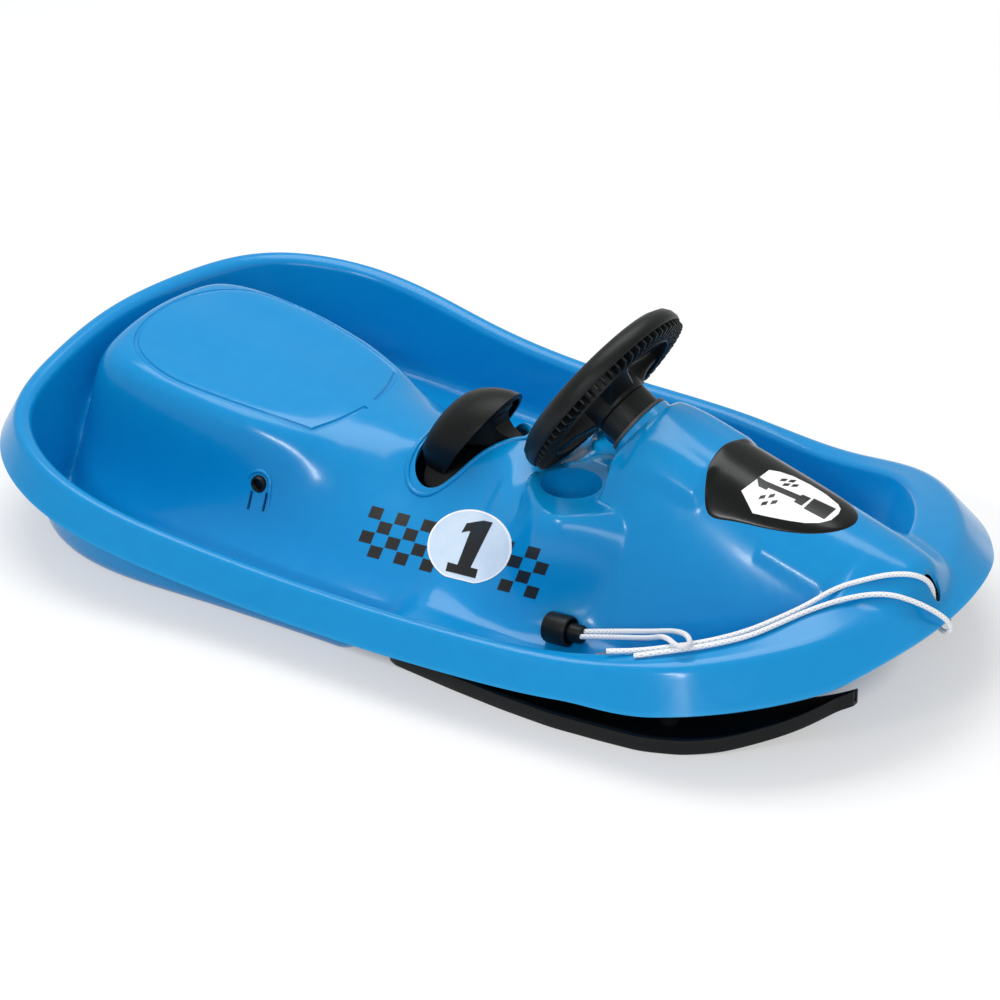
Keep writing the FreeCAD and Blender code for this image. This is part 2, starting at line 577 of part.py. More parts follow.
def ski_band(low, high):
    """Layer that follows the ski's upturned sole, between two heights above it."""
    rear, start, front = size("ski_rear") - OVER, size("ski_tip_start"), size("ski_front")
    places = [between(start, front, i / SKI_STEPS) for i in range(SKI_STEPS + 1)]
    sole = [Vector(x, 0, ski_height(x)) for x in places]
    curve = Part.BSplineCurve()
    curve.interpolate(Points=sole, InitialTangent=Vector(1, 0, 0), FinalTangent=sole[-1] - sole[-2])
    edges = []
    for lift in (low, high):
        edge = curve.toShape()
        edge.translate(Vector(0, 0, lift))
        edges.append((Vector(rear, 0, lift), sole[0] + Vector(0, 0, lift), edge, sole[-1] + Vector(0, 0, lift)))
    lower, upper = edges
    wire = Part.Wire(Part.__sortEdges__([
        Part.LineSegment(lower[0], lower[1]).toShape(), lower[2], Part.LineSegment(lower[3], upper[3]).toShape(),
        upper[2], Part.LineSegment(upper[1], upper[0]).toShape(), Part.LineSegment(upper[0], lower[0]).toShape()]))
    band = Part.Face(wire).extrude(Vector(0, -OVERALL, 0))
    return band


def make_ski():
    outer, inner, rear, front = -size("ski_outer"), -size("ski_inner"), size("ski_rear"), size("ski_front")
    corners = [(rear, outer, size("ski_rear_radius")),
               (front - size("ski_tip_radius"), outer, size("ski_bow_radius")),
               (front, -size("ski_tip_offset"), size("ski_tip_radius")),
               (front - size("ski_tip_taper"), inner, size("ski_taper_radius")),
               (rear, inner, size("ski_rear_radius"))]
    face = Part.Face(rounded_wire(corners, -OVER))
    up = Vector(0, 0, 3 * OVER)
    tray = ski_band(0, size("ski_base")).common(face.extrude(up))
    edge = face.cut(face.makeOffset2D(-size("ski_edge_wall"))).extrude(up)
    edge = ski_band(0, size("ski_edge_height")).common(edge)
    middle = -size("kingpin_offset")
    pieces = [edge]
    rib_end = size("ski_tip_start") + OVER
    for side in (-1, 1):
        rib = Part.makeBox(rib_end - rear - OVER, size("ski_rib"), size("ski_rib_height"),
                           Vector(rear + OVER, middle + side * size("ski_rib_offset") - size("ski_rib") / 2, 0))
        pieces.append(rib.common(ski_band(0, OVER)))
    top = size("front_floor_height") - size("washer_thickness") - size("seat_gap")
    pieces.append(upright(size("turret_radius"), KINGPIN_X, middle, 0, top))
    pieces.append(upright(size("turret_radius") / 2, STEER_PIN_X, middle, 0, size("tie_height") - size("seat_gap")))
    pieces.append(upright(size("steer_pin_radius"), STEER_PIN_X, middle, 0, size("steer_pin_height")))
    shape = tray.fuse(pieces)
    shape = shape.cut(upright(size("kingpin_radius"), KINGPIN_X, middle, -OVER, OVER))
    shape = shape.cut(upright(size("kingpin_head_radius"), KINGPIN_X, middle, -OVER, size("ski_base")))
    return add_shape("ski_right", shape.removeSplitter())


def make_tie_rod():
    """Flat chevron bar under the floor: a slotted block at the ball, slotted eyes at the ski pins."""
    body = doc.addObject("PartDesign::Body", "tie_rod")
    half, eye, offset = size("tie_width") / 2, size("tie_eye_radius"), size("kingpin_offset")
    travel, gap = size("pin_slot_travel"), size("slot_gap")
    bar = on_plane(body, "XY_Plane", "tie_bar", "sizes.tie_height")
    front, rear = BALL.x + size("tie_block_front") / 2, BALL.x - size("tie_block_rear")
    near = STEER_PIN_X + travel
    outline = [(front, 0), (near + eye, offset - eye), (near + eye, offset + eye), (STEER_PIN_X - eye, offset + eye),
               (STEER_PIN_X - eye, offset - eye)]
    polygon(bar, outline + [(rear - half, 0)] + [(x, -y) for x, y in reversed(outline[1:])])
    padded(body, bar, "sizes.tie_thickness")
    block = on_plane(body, "XY_Plane", "tie_block", "sizes.tie_block_low")
    front, wide = BALL.x + size("tie_block_front"), size("tie_block_half")
    polygon(block, [(rear, -wide), (front, -wide), (front, wide), (rear, wide)])
    padded(body, block, "sizes.tie_block_high - sizes.tie_block_low")
    slots = [(BALL.x, 0, size("crank_ball_radius") + gap, size("ball_slot_front"))]
    slots += [(STEER_PIN_X, side * offset, size("steer_pin_radius") + gap, travel) for side in (-1, 1)]
    for i, (x, y, radius, run) in enumerate(slots):
        sketch = on_plane(body, "XY_Plane", f"tie_slot_{i}")
        ends = [Vector(x, y - radius, 0), Vector(x + run, y - radius, 0), Vector(x + run, y + radius, 0),
                Vector(x, y + radius, 0)]
        sketch.addGeometry(Part.LineSegment(ends[0], ends[1]))
        sketch.addGeometry(Part.Arc(ends[1], Vector(x + run + radius, y, 0), ends[2]))
        sketch.addGeometry(Part.LineSegment(ends[2], ends[3]))
        sketch.addGeometry(Part.Arc(ends[3], Vector(x - radius, y, 0), ends[0]))
        pocket = body.newObject("PartDesign::Pocket", f"tie_slot_cut_{i}")
        pocket.Profile = sketch
        pocket.Reversed = True
        pocket.setExpression("Length", "sizes.cut_over")
    return body


def make_brake_lever():
    """Lever on the axle: a bar forward to the handle, two arms back to the claws."""
    x, z = size("axle_place"), size("axle_height")
    low, thick, wide = size("lever_low"), size("lever_thickness"), size("lever_width")
    hub = crosswise(size("lever_hub_radius"), x, z, -size("lever_hub_half"), size("lever_hub_half"))
    bar = slab(x, size("neck_front"), wide / 2, low, low + thick)
    neck = slab(size("neck_rear"), size("neck_front"), size("neck_width") / 2, low, size("neck_top"))
    pieces = [bar, neck]
    for side in (-1, 1):
        middle = side * size("arm_offset")
        pieces.append(Part.makeBox(size("arm_reach"), size("arm_width"), thick,
                                   Vector(x - size("arm_reach"), middle - size("arm_width") / 2, low)))
    shape = hub.fuse(pieces)
    bore = size("axle_radius") + size("running_gap")
    shape = shape.cut(crosswise(bore, x, z, -OVERALL, OVERALL))
    for y in handle_screw_places():
        shape = shape.cut(lengthwise(size("handle_screw_radius"), size("neck_rear"), size("neck_front"), y,
                                     HANDLE_SCREW_Z))
    for side in (-1, 1):
        shape = shape.cut(upright(size("rivet_radius"), RIVET_X, side * size("arm_offset"), 0, OVERALL))
    return add_shape("brake_lever", shape.removeSplitter())


def lengthwise(radius, x_low, x_high, y, z):
    return Part.makeCylinder(radius, x_high - x_low, Vector(x_low, y, z), Vector(1, 0, 0))


def handle_screw_places():
    return (-size("handle_screw_spread"), size("handle_screw_spread"))


def handle_dome(inset):
    """Scoop of the brake handle as sections along X."""
    wires = []
    for place, top, half in HANDLE_SHARES:
        x = size("handle_rear") + inset + place * (size("handle_length") - inset)
        foot = size("handle_foot")
        tall = between(foot, size("handle_top"), top) - inset
        wide = half * size("handle_half") - inset
        mid = between(foot, tall, HANDLE_MID_SHARE)
        curve = Part.BSplineCurve()
        bulge, narrow = HANDLE_BULGE_SHARE * wide, HANDLE_FOOT_SHARE * wide
        curve.interpolate(Points=[Vector(x, -narrow, foot - inset), Vector(x, -bulge, mid), Vector(x, 0, tall),
                                  Vector(x, bulge, mid), Vector(x, narrow, foot - inset)])
        points = curve.toShape().discretize(Number=HUMP_POINTS)
        wires.append(Part.makePolygon(points + points[:1]))
    return Part.makeLoft(wires, True, True)


def make_brake_handle():
    shape = handle_dome(0).cut(handle_dome(size("handle_wall")))
    foot, rear, front = size("handle_foot"), size("handle_rear"), size("handle_rear") + size("handle_length")
    lean = [Vector(rear + size("handle_length") / 4, -OVER, foot), Vector(front, -OVER, size("handle_top")),
            Vector(front + OVER, -OVER, size("handle_top")), Vector(front + OVER, -OVER, foot - OVER),
            Vector(rear + size("handle_length") / 4, -OVER, foot - OVER)]
    shape = shape.cut(Part.Face(Part.makePolygon(lean + lean[:1])).extrude(Vector(0, 2 * OVER, 0)))
    block = slab(rear, size("neck_rear"), size("neck_width") / 2, HANDLE_SCREW_Z - size("lever_thickness"),
                 size("neck_top")).common(handle_dome(0))
    shape = shape.fuse(block)
    for y in handle_screw_places():
        shape = shape.cut(lengthwise(size("handle_screw_radius"), HANDLE_SCREW_END, size("neck_rear"), y,
                                     HANDLE_SCREW_Z))
    return add_shape("brake_handle", shape)


def make_handle_screws():
    """Two screws from the front of the neck into the handle."""
    screws = []
    front = size("neck_front")
    for y in handle_screw_places():
        shank = lengthwise(size("handle_screw_radius"), HANDLE_SCREW_END, front, y, HANDLE_SCREW_Z)
        head = lengthwise(size("handle_screw_head_radius"), front, front + size("handle_screw_head"), y,
                          HANDLE_SCREW_Z)
        screws.append(shank.fuse(head))
    return add_shape("brake_handle_screws", Part.Compound(screws))


def make_claw():
    """Bent steel plate under one arm, with a pointed tooth that bites the snow."""
    thick, half, low = size("claw_thickness"), size("claw_width") / 2, size("lever_low")
    rear, middle = size("axle_place") - size("arm_reach"), -size("arm_offset")
    tip = size("claw_clear")
    waist = between(tip, low, CLAW_TAPER_SHARE)
    tooth = [Vector(rear - thick, middle - half, low), Vector(rear - thick, middle + half, low),
             Vector(rear - thick, middle + half, waist), Vector(rear - thick, middle, tip),
             Vector(rear - thick, middle - half, waist)]
    tooth = Part.Face(Part.makePolygon(tooth + tooth[:1])).extrude(Vector(thick, 0, 0))
    plate = Part.makeBox(size("claw_plate"), 2 * half, thick, Vector(rear - thick, middle - half, low - thick))
    shape = tooth.fuse(plate).removeSplitter()
    return add_shape("brake_claw", shape.cut(upright(size("rivet_radius"), RIVET_X, middle, 0, OVERALL)))


def make_nose_cover():
    """Shield-shaped cover that lies on the hood."""
    length = size("cover_front") - size("cover_rear")
    half = [Vector(size("cover_rear") + a * length, b * size("cover_half"), 0) for a, b in COVER_SHARES]
    curve = Part.BSplineCurve()
    curve.interpolate(Points=half + [Vector(p.x, -p.y, 0) for p in reversed(half[1:-1])], PeriodicFlag=True)
    block = Part.Face(Part.Wire([curve.toShape()])).extrude(Vector(0, 0, OVERALL))
    return add_shape("nose_cover", block.common(hood(-size("cover_thickness"))).cut(hood(0)))


def cord_wire(points):
    """Straight runs joined by tangent arcs."""
    edges = []
    start = points[0]
    for before, corner, after in zip(points, points[1:], points[2:]):
        back, ahead = before - corner, after - corner
        reach = ARC_SHARE * min(back.Length, ahead.Length)
        back.normalize()
        ahead.normalize()
        half_angle = back.getAngle(ahead) / 2
        radius = reach * math.tan(half_angle)
        middle = back + ahead
        middle.normalize()
        middle = corner + middle * (radius / math.sin(half_angle) - radius)
        enter, leave = corner + back * reach, corner + ahead * reach
        edges.append(Part.LineSegment(start, enter).toShape())
        edges.append(Part.Arc(enter, middle, leave).toShape())
        start = leave
    edges.append(Part.LineSegment(start, points[-1]).toShape())
    return Part.Wire(edges)


def make_cord(label, rows):
    """Round cord along hand-chosen points."""
    points = [Vector(*row) * ROPE_SCALE for row in rows]
    wire = cord_wire(points)
    along = points[1] - points[0]
    ring = Part.Wire(Part.makeCircle(size("rope_diameter") / 2, points[0], along))
    return add_shape(label, wire.makePipeShell([ring], True, False))


def make_toggle():
    """Bell-shaped grip that holds both strands."""
    length, wide, narrow = size("toggle_length"), size("toggle_wide"), size("toggle_narrow")
    body = doc.addObject("PartDesign::Body", "rope_toggle")
    sketch = on_plane(body, "XZ_Plane", "toggle_profile")
    waist = length * TOGGLE_WAIST_SHARE
    polygon(sketch, [(0, 0), (wide, 0), (wide, length - waist), (narrow, waist), (narrow, length), (0, length)])
    turn = body.newObject("PartDesign::Revolution", "toggle_turn")
    turn.Profile = sketch
    turn.ReferenceAxis = (sketch, ["V_Axis"])
    body.Placement = Placement(Vector(*TOGGLE_PLACE) * ROPE_SCALE, Rotation(Vector(0, 1, 0), TOGGLE_TILT))
    return body


RIGHT = Placement(Vector(KINGPIN_X, -size("kingpin_offset"), 0), Rotation())
ACROSS = Rotation(Vector(1, 0, 0), 90)


def make_pieces():
    """Every node's document object by its name."""
    nodes = {"hull": add_shape("hull", hull_shape()), "nose_cover": make_nose_cover()}
    nodes["steering_wheel"] = make_steering_wheel()
    nodes["wheel_cap"] = turned("wheel_cap", [
        ("sizes.wheel_cap_radius", "sizes.hub_rise", "sizes.wheel_cap_height")], placement=on_axis(0))
    nodes["wheel_screw"] = turned("wheel_screw", [
        ("sizes.screw_radius", "sizes.spigot_length - sizes.hub_depth - sizes.screw_depth",
         "sizes.hub_depth + sizes.hub_rise"),
        ("sizes.screw_head_radius", "sizes.hub_rise - sizes.screw_head", "sizes.screw_head")], placement=on_axis(0))
    nodes["steering_column"] = turned("steering_column", [
        ("sizes.shaft_radius", "-sizes.column_length", "sizes.column_length - sizes.hub_depth"),
        ("sizes.stem_radius", STEM_END, "sizes.stem_length"),
        ("sizes.shoulder_radius", SHOULDER_LOW, f"-sizes.hub_depth - ({SHOULDER_LOW})"),
        ("sizes.spigot_radius", "-sizes.hub_depth", "sizes.spigot_length")], [
        ("sizes.screw_radius", "sizes.spigot_length - sizes.hub_depth - sizes.screw_depth", "sizes.screw_depth"),
        ("sizes.screw_radius", "-sizes.column_length", "sizes.screw_depth")], on_axis(0))
    bush_bore = "sizes.stem_radius + sizes.running_gap"
    nodes["column_bush_upper"] = turned("column_bush_upper", [
        (f"{bush_bore} + sizes.bush_wall", "-sizes.collar_reach - sizes.bush_length", "sizes.bush_length"),
        ("sizes.bush_flange_radius", "-sizes.collar_reach", "sizes.bush_flange")], [
        (bush_bore, "-sizes.collar_reach - sizes.bush_length", "sizes.bush_length + sizes.bush_flange")], on_axis(0))
    lower_end = "-sizes.lower_bush_place - sizes.lower_bush_length"
    nodes["column_bush_lower"] = turned("column_bush_lower", [
        ("sizes.lower_bush_radius", lower_end, "sizes.lower_bush_length")], [
        ("sizes.shaft_radius + sizes.running_gap", lower_end, "sizes.lower_bush_length")], on_axis(0))
    ring_low = f"{lower_end} - sizes.seat_gap - sizes.ring_width"
    nodes["column_retaining_ring"] = turned("column_retaining_ring", [
        ("sizes.ring_radius", ring_low, "sizes.ring_width")], [
        ("sizes.shaft_radius", ring_low, "sizes.ring_width")], on_axis(0))
    nodes["crank_arm"] = make_crank()
    nodes["crank_screw"] = turned("crank_screw", [
        ("sizes.crank_screw_head_radius", "-sizes.column_length - sizes.screw_head", "sizes.screw_head"),
        ("sizes.screw_radius", "-sizes.column_length", "sizes.screw_depth")], placement=on_axis(0))
    nodes["tie_rod"] = make_tie_rod()
    nodes["ski_right"] = make_ski()
    nodes["ski_left"] = mirrored("ski_left", nodes["ski_right"])
    nut_low = "sizes.front_floor_height + sizes.wall + sizes.kingpin_boss_height + sizes.seat_gap"
    nodes["kingpin_right"] = turned("kingpin_right", [
        ("sizes.kingpin_head_radius", "sizes.ski_base - sizes.kingpin_head", "sizes.kingpin_head"),
        ("sizes.kingpin_radius", "sizes.ski_base", f"{nut_low} + sizes.nut_height + sizes.pin_over - sizes.ski_base")],
        placement=RIGHT)
    nodes["kingpin_left"] = mirrored("kingpin_left", nodes["kingpin_right"])
    nodes["kingpin_nut_right"] = turned("kingpin_nut_right", [("sizes.nut_radius", nut_low, "sizes.nut_height")], [
        ("sizes.kingpin_radius", nut_low, "sizes.nut_height")], RIGHT)
    nodes["kingpin_nut_left"] = mirrored("kingpin_nut_left", nodes["kingpin_nut_right"])
    bush_length = "sizes.wall + sizes.kingpin_boss_height"
    nodes["kingpin_bushes"] = pair("kingpin_bushes", turned("kingpin_bush", [
        ("sizes.kingpin_bush_radius", "sizes.front_floor_height", bush_length)], [
        ("sizes.kingpin_radius + sizes.running_gap", "sizes.front_floor_height", bush_length)], RIGHT))
    washer_low = "sizes.front_floor_height - sizes.washer_thickness"
    nodes["kingpin_washers"] = pair("kingpin_washers", turned("kingpin_washer", [
        ("sizes.washer_radius", washer_low, "sizes.washer_thickness")], [
        ("sizes.kingpin_radius + sizes.seat_gap", washer_low, "sizes.washer_thickness")], RIGHT))
    axle = Placement(Vector(size("axle_place"), 0, size("axle_height")), ACROSS)
    nodes["brake_axle"] = turned("brake_axle", [
        ("sizes.axle_radius", "-sizes.axle_half", "2 * sizes.axle_half")], placement=axle)
    nodes["axle_caps"] = pair("axle_caps", turned("axle_cap", [
        ("sizes.axle_cap_radius", "sizes.axle_cap_inner", "sizes.axle_cap_outer - sizes.axle_cap_inner")], [
        ("sizes.axle_radius", "sizes.axle_cap_inner", "sizes.axle_half - sizes.axle_cap_inner")], axle))
    nodes["brake_lever"] = make_brake_lever()
    nodes["brake_handle"] = make_brake_handle()
    nodes["brake_handle_screws"] = make_handle_screws()
    nodes["brake_claws"] = pair("brake_claws", make_claw())
    rivet_top = "sizes.lever_low + sizes.lever_thickness"
    rivet_low = "sizes.lever_low - sizes.claw_thickness"
    rivet_place = Placement(Vector(RIVET_X, -size("arm_offset"), 0), Rotation())
    nodes["claw_rivets"] = pair("claw_rivets", turned("claw_rivet", [
        ("sizes.rivet_head_radius", f"{rivet_low} - sizes.rivet_head", "sizes.rivet_head"),
        ("sizes.rivet_radius", rivet_low, f"{rivet_top} - ({rivet_low})"),
        ("sizes.rivet_head_radius", rivet_top, "sizes.rivet_head")], placement=rivet_place))
    nodes["tow_rope"] = make_cord("tow_rope", ROPE_ROUTE)
    nodes["toggle_loop"] = make_cord("toggle_loop", LOOP_ROUTE)
    nodes["rope_toggle"] = make_toggle()
    return nodes


NODES = make_pieces()
doc.recompute()
for item in doc.Objects:
    if "Invalid" in item.State or "Error" in item.State:
        raise RuntimeError(f"{item.Name} did not build")
os.makedirs("parts", exist_ok=True)
for name, item in NODES.items():
    if item.Shape.isNull() or not item.Shape.isValid():
        raise RuntimeError(f"{name} has no valid shape")
    item.Label = name
    item.Shape.exportStep(f"parts/{name}.step")
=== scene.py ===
import json
import math

import bmesh
import bpy
import numpy as np
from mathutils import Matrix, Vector
from mathutils.bvhtree import BVHTree


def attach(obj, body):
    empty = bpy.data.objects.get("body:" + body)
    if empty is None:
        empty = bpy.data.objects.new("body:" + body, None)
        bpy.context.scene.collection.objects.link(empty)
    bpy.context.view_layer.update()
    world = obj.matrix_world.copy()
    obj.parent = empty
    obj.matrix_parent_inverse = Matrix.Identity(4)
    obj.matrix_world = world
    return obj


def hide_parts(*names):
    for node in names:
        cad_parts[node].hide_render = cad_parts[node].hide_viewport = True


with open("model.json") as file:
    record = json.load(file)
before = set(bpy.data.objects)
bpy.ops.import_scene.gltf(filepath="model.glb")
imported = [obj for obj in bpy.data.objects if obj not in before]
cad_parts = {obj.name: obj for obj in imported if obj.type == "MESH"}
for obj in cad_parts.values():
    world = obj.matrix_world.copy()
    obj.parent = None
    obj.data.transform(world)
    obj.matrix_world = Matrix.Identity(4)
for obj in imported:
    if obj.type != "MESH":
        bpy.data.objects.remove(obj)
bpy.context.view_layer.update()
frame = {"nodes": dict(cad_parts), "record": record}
MM = 0.001

# Hull sizes in millimetres, as in the part's source.
TUB_LENGTH, TUB_REAR, TUB_HALF, REAR_RIM_HEIGHT, WALL = 887.0, -468.0, 256.0, 132.0, 4.0
SIDE_FLANGE, FRONT_FLANGE, SIDE_FLARE, FRONT_FLARE = 14.0, 45.0, 18.0, 36.0
SIDE_RISE, FRONT_RISE, SKIRT_DROP, CORNER_DROP = 7.0, -7.0, 28.0, 11.0
SIDE_DRAFT, BOW_RAKE, BOW_START, DECK_START = 0.14, 0.58, 0.80, 0.60
RIM_ROWS = [
    (0.000, 0.000, 1.000), (0.009, 0.400, 0.965), (0.044, 0.781, 0.886), (0.139, 0.992, 0.765),
    (0.301, 1.000, 0.591), (0.503, 0.969, 0.530), (0.666, 0.945, 0.561), (0.813, 0.844, 0.636),
    (0.905, 0.730, 0.803), (0.966, 0.496, 0.902), (0.991, 0.281, 0.939), (1.000, 0.000, 0.955),
]
RIDGE_ROWS = [
    (0.018, 0.737, 0.335, 0.145, 0.518, 0.395, 0.683), (0.041, 0.961, 0.476, 0.092, 0.659, 0.461, 0.823),
    (0.077, 0.993, 0.579, 0.053, 0.744, 0.474, 0.915), (0.167, 0.941, 0.628, 0.039, 0.780, 0.461, 0.951),
    (0.257, 0.875, 0.579, 0.039, 0.744, 0.434, 0.963), (0.313, 0.829, 0.500, 0.053, 0.707, 0.434, 0.976),
    (0.359, 0.789, 0.427, 0.092, 0.671, 0.421, 0.988), (0.415, 0.776, 0.354, 0.132, 0.634, 0.408, 1.000),
    (0.483, 0.842, 0.317, 0.197, 0.598, 0.408, 1.000), (0.550, 0.947, 0.335, 0.211, 0.640, 0.447, 1.000),
    (0.573, 0.925, 0.370, 0.130, 0.665, 0.480, 1.000), (0.597, 0.862, 0.430, 0.060, 0.700, 0.515, 1.000),
    (0.616, 0.862, 0.510, 0.046, 0.740, 0.545, 1.000), (0.641, 0.945, 0.620, 0.036, 0.790, 0.572, 1.000),
    (0.663, 0.985, 0.683, 0.030, 0.817, 0.592, 1.000), (0.691, 0.993, 0.671, 0.033, 0.793, 0.579, 0.988),
    (0.731, 0.967, 0.537, 0.059, 0.695, 0.526, 0.957), (0.776, 0.908, 0.378, 0.092, 0.573, 0.474, 0.902),
    (0.823, 0.776, 0.256, 0.105, 0.439, 0.395, 0.805),
]
HOOD_ROWS = [
    (0.692, 1.02, 0.22, 0.080, 0.43, 0.70, 0.98), (0.742, 1.00, 0.28, 0.085, 0.55, 0.60, 1.00),
    (0.815, 0.91, 0.33, 0.100, 0.60, 0.53, 0.95), (0.888, 0.825, 0.33, 0.092, 0.58, 0.50, 0.86),
    (0.962, 0.75, 0.29, 0.075, 0.49, 0.51, 0.71), (1.024, 0.69, 0.22, 0.055, 0.37, 0.52, 0.55),
    (1.058, 0.645, 0.15, 0.045, 0.26, 0.51, 0.40), (1.071, 0.58, 0.08, 0.030, 0.15, 0.49, 0.25),
]
RIDGE_HEIGHT, RIDGE_HALF, HOOD_HEIGHT, HOOD_HALF = 152.0, 164.0, 217.0, 152.0
SHOULDER_SHARE, SHOULDER_FALL = 0.62, 0.30
STEP_START, STEP_END, FRONT_FLOOR = -32.0, 20.0, 27.0

# Steering axis.
COLUMN_SLOPE = math.radians(32)
WHEEL_CENTRE = np.array([113.0, 0.0, 220.0])
AXIS = np.array([math.cos(COLUMN_SLOPE), 0.0, -math.sin(COLUMN_SLOPE)])
COLLAR_FACE = 55.5

# Photograph's camera: angles, distance in metres, and the place of the origin in the picture.
VIEW_AZIMUTH, VIEW_ELEVATION, VIEW_DISTANCE = math.radians(33.95), math.radians(30.54), 4.7
VIEW_LENS, VIEW_SHIFT = 171.6, (-0.0046, 0.0543)
PICTURE, SENSOR = 1000.0, 36.0


def view_back():
    """Direction from the object to the camera."""
    level = math.cos(VIEW_ELEVATION)
    return Vector((math.sin(VIEW_AZIMUTH) * level, -math.cos(VIEW_AZIMUTH) * level, math.sin(VIEW_ELEVATION)))


def view_ray(px, py):
    """Start and direction, in millimetres, of the sight line through a place in the picture."""
    back = view_back()
    right = Vector((math.cos(VIEW_AZIMUTH), math.sin(VIEW_AZIMUTH), 0))
    up = back.cross(right)
    focal = VIEW_LENS / SENSOR * PICTURE
    across = (px - PICTURE * (0.5 - VIEW_SHIFT[0])) / focal
    down = (py - PICTURE * (0.5 + VIEW_SHIFT[1])) / focal
    return back * (VIEW_DISTANCE / MM), (right * across - up * down - back).normalized()


# Shapes

def smooth(value):
    value = np.clip(value, 0.0, 1.0)
    return value * value * (3 - 2 * value)


def blend_max(a, b, reach):
    """The higher of two surfaces, with a fillet where they meet."""
    gap = np.maximum(reach - np.abs(a - b), 0.0) / reach
    return np.maximum(a, b) + gap * gap * reach / 4


def blend_min(a, b, reach):
    return -blend_max(-a, -b, reach)


def curve_through(points, closed=False):
    """Smooth curve through points: its evaluating function and the parameters of the points."""
    points = np.array(points, float)
    ring = np.vstack([points, points[:1]]) if closed else points
    steps = np.linalg.norm(np.diff(ring, axis=0), axis=1)
    knots = np.concatenate([[0.0], np.cumsum(steps)])
    count = len(points)
    system, right = np.zeros((count, count)), np.zeros(points.shape)
    for i in range(count):
        if not closed and i in (0, count - 1):
            system[i, i] = 1.0
            continue
        before, after = steps[i - 1], steps[i % len(steps)]
        system[i, i - 1] += before
        system[i, i] += 2 * (before + after)
        system[i, (i + 1) % count] += after
        right[i] = 6 * ((points[(i + 1) % count] - points[i]) / after - (points[i] - points[i - 1]) / before)
    bend = np.linalg.solve(system, right)
    if closed:
        bend = np.vstack([bend, bend[:1]])

    def at(t):
        t = np.atleast_1d(np.asarray(t, float))
        i = np.clip(np.searchsorted(knots, t, side="right") - 1, 0, len(steps) - 1)
        h = steps[i][:, None]
        b = (t[:, None] - knots[i][:, None]) / h
        a = 1 - b
        return (a * ring[i] + b * ring[i + 1]
                + ((a ** 3 - a) * bend[i] + (b ** 3 - b) * bend[i + 1]) * h * h / 6)

    return at, knots


def through_rows(rows, place):
    """Columns of the rows at the given places, on smooth curves through them."""
    rows = np.array(rows)
    last = len(rows) - 1
    i = np.clip(np.searchsorted(rows[:, 0], place, side="right") - 1, 0, last - 1)
    before, start, end = rows[np.maximum(i - 1, 0)], rows[i], rows[i + 1]
    after = rows[np.minimum(i + 2, last)]
    span = (end[:, 0] - start[:, 0])[:, None]
    share = (place - start[:, 0])[:, None] / span
    leave = (end - before) / (end[:, 0] - before[:, 0])[:, None] * span
    arrive = (after - start) / (after[:, 0] - start[:, 0])[:, None] * span
    turn = end - start
    return (start + share * (leave + share * (3 * turn - 2 * leave - arrive
                                              + share * (leave + arrive - 2 * turn))))[:, 1:]


SECTIONS, ACROSS = 360, 160
HUMP_FOOT = 2.0
SIDE_FALL, END_FALL = 3.0, 4.0


class Hump:
    """Arched form along the hull, given by sections, as a height over the plan."""

    def __init__(self, rows, height, half_width):
        self.low, self.high = rows[0][0], rows[-1][0]
        places = np.linspace(self.low, self.high, SECTIONS)
        values = through_rows(rows, places)
        self.foot = values[:, 5] * half_width
        self.table = np.zeros((SECTIONS, ACROSS))
        for i, (top, top_half, fall, waist_half, waist, foot_half) in enumerate(values):
            crown = top * height
            half = [(0, crown),
                    (SHOULDER_SHARE * top_half * half_width, crown - SHOULDER_FALL * fall * height),
                    (top_half * half_width, crown - fall * height),
                    (waist_half * half_width, waist * height),
                    (foot_half * half_width, HUMP_FOOT)]
            curve, knots = curve_through([(-y, z) for y, z in reversed(half)] + half[1:])
            points = curve(np.linspace(knots[4], knots[-1], ACROSS * 2))
            y = np.maximum.accumulate(points[:, 0])
            self.table[i] = np.interp(np.linspace(0, self.foot[i], ACROSS), y, points[:, 1])

    def __call__(self, x, y):
        place = (x - TUB_REAR) / TUB_LENGTH
        beyond = np.maximum(self.low - place, 0) + np.maximum(place - self.high, 0)
        row = np.clip((place - self.low) / (self.high - self.low), 0, 1) * (SECTIONS - 1)
        i = np.minimum(row.astype(int), SECTIONS - 2)
        f = row - i
        foot = self.foot[i] * (1 - f) + self.foot[i + 1] * f
        across = np.abs(y) / foot
        column = np.clip(across, 0, 1) * (ACROSS - 1)
        j = np.minimum(column.astype(int), ACROSS - 2)
        g = column - j
        z = ((self.table[i, j] * (1 - g) + self.table[i, j + 1] * g) * (1 - f)
             + (self.table[i + 1, j] * (1 - g) + self.table[i + 1, j + 1] * g) * f)
        return z - SIDE_FALL * np.maximum(np.abs(y) - foot, 0) - END_FALL * beyond * TUB_LENGTH


ridge_height = Hump(RIDGE_ROWS, RIDGE_HEIGHT, RIDGE_HALF)
hood_arch = Hump(HOOD_ROWS, HOOD_HEIGHT, HOOD_HALF)
NOSE_START, NOSE_END, NOSE_DROP = 458.0, 486.0, 26.0
COLLAR_FILLET = 12.0
SWELLS = [
    (166.0, 14.0, 262.0, 14.0, 20.0, 26.0, 60.0, 6.0),
    (324.0, 6.0, 404.0, 10.0, 48.0, 15.0, 68.0, 3.2),
]
SWELL_EDGE = 6.0


def hood_swells(x, y):
    """Raised shoulders on the hood's sides, with a firm lower edge."""
    total, reach = 0.0, np.abs(y)
    for rear, rear_soft, front, front_soft, inner, inner_soft, outer, rise in SWELLS:
        along = smooth((x - rear) / rear_soft) * smooth((front - x) / front_soft)
        across = smooth((reach - inner) / inner_soft) * smooth((outer + SWELL_EDGE / 2 - reach) / SWELL_EDGE)
        total = total + rise * along * across
    return total


